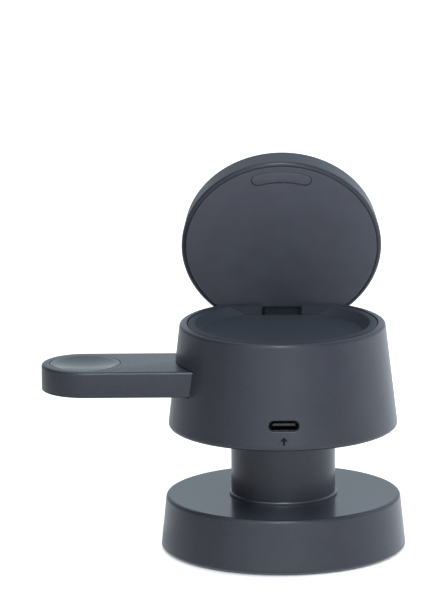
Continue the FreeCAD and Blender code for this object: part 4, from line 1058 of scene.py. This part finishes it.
# Studio: white to the camera, with a soft light of its own that is stronger from behind.
# What mirrors in the object is bright in front and behind, dim on the left, and dimmer in front
# towards the right.
back_ramp = (-0.5, 0.3), (0.2, 0.9)
left_ramp = (-0.95, -0.2), (0.2, 1.0)
front_ramp = (-0.3, -1.0), (0.0, 2.4)
right_ramp = (0.15, 0.7), (1.0, 0.35)
ambient_ramp = (0.0, 0.7), (0.08, 0.25)
scene.world = bpy.data.worlds.new("studio")
scene.world.use_nodes = True
studio = scene.world.node_tree
direction = wired(studio, "ShaderNodeTexCoord", {})["Generated"]
axes = wired(studio, "ShaderNodeSeparateXYZ", {"Vector": direction})
back = joined(studio, "MULTIPLY", between(studio, axes["Y"], *back_ramp),
              between(studio, axes["X"], *left_ramp))
front = joined(studio, "MULTIPLY", between(studio, axes["Y"], *front_ramp),
               between(studio, axes["X"], *right_ramp))
ambient = between(studio, axes["Y"], *ambient_ramp)
ray = wired(studio, "ShaderNodeLightPath", {})
seen = joined(studio, "MAXIMUM", ray["Is Camera Ray"], ray["Is Transmission Ray"])
unseen = mixed(studio, "FLOAT", ray["Is Glossy Ray"], ambient,
               joined(studio, "ADD", back, front))
surround = studio.nodes["Background"].inputs
studio.links.new(joined(studio, "MAXIMUM", seen, unseen), surround["Strength"])
studio.links.new(mixed(studio, "RGBA", seen, studio_tint, white), surround["Color"])

# Lamps: soft boxes above and in front, which draw the light lines along the edges,
# and two fills, in front and on the right, that don't mirror in the object.
lamp_tint = (0.84, 0.93, 1.0)
lit_point = Vector((0, 0, 0.05))


def lamp(name, watts, size, place, mirrored=True):
    """Soft rectangular lamp turned to the object."""
    light = bpy.data.lights.new(name, "AREA")
    light.energy = watts
    light.color = lamp_tint
    light.shape = "RECTANGLE"
    light.size, light.size_y = size
    lit = bpy.data.objects.new(name, light)
    lit.location = place
    lit.rotation_euler = (lit_point - Vector(place)).to_track_quat("-Z", "Y").to_euler()
    lit.visible_glossy = mirrored
    scene.collection.objects.link(lit)


lamp("top_softbox", watts=1.6, size=(0.9, 0.7), place=(-0.5, -0.1, 1.2))
lamp("high_softbox", watts=9.0, size=(0.5, 0.35), place=(-0.05, -1.25, 1.05))
lamp("crown_strip", watts=5.0, size=(0.5, 0.3), place=(-0.05, -0.5, 1.6))
lamp("front_fill", watts=5.0, size=(1.2, 0.6), place=(0.6, -1.5, 0.25), mirrored=False)
lamp("right_fill", watts=14.0, size=(0.8, 0.9), place=(1.2, 0.2, 0.5), mirrored=False)

# Camera: a long lens some two metres in front of the object, above it and looking a little down.
# Its focal length is given in pixels of a picture of the height below.
image_height = 600.0
focal_pixels = 7905.8
sensor_height = 24.0
nearest, farthest = 0.05, 50.0
camera_place = (-18.70 * MM, -2223.44 * MM, 571.33 * MM)
camera_pitch = math.radians(12.632)
camera_roll = math.radians(-0.389)
lens = bpy.data.cameras.new("camera")
lens.sensor_fit = "VERTICAL"
lens.sensor_height = sensor_height
lens.lens = sensor_height * focal_pixels / image_height
lens.clip_start, lens.clip_end = nearest, farthest
camera = bpy.data.objects.new("camera", lens)
camera.location = camera_place
camera.rotation_euler = (Matrix.Rotation(math.radians(90) - camera_pitch, 4, "X")
                         @ Matrix.Rotation(camera_roll, 4, "Z")).to_euler()
scene.collection.objects.link(camera)
scene.camera = camera
scene.view_settings.view_transform = "Standard"
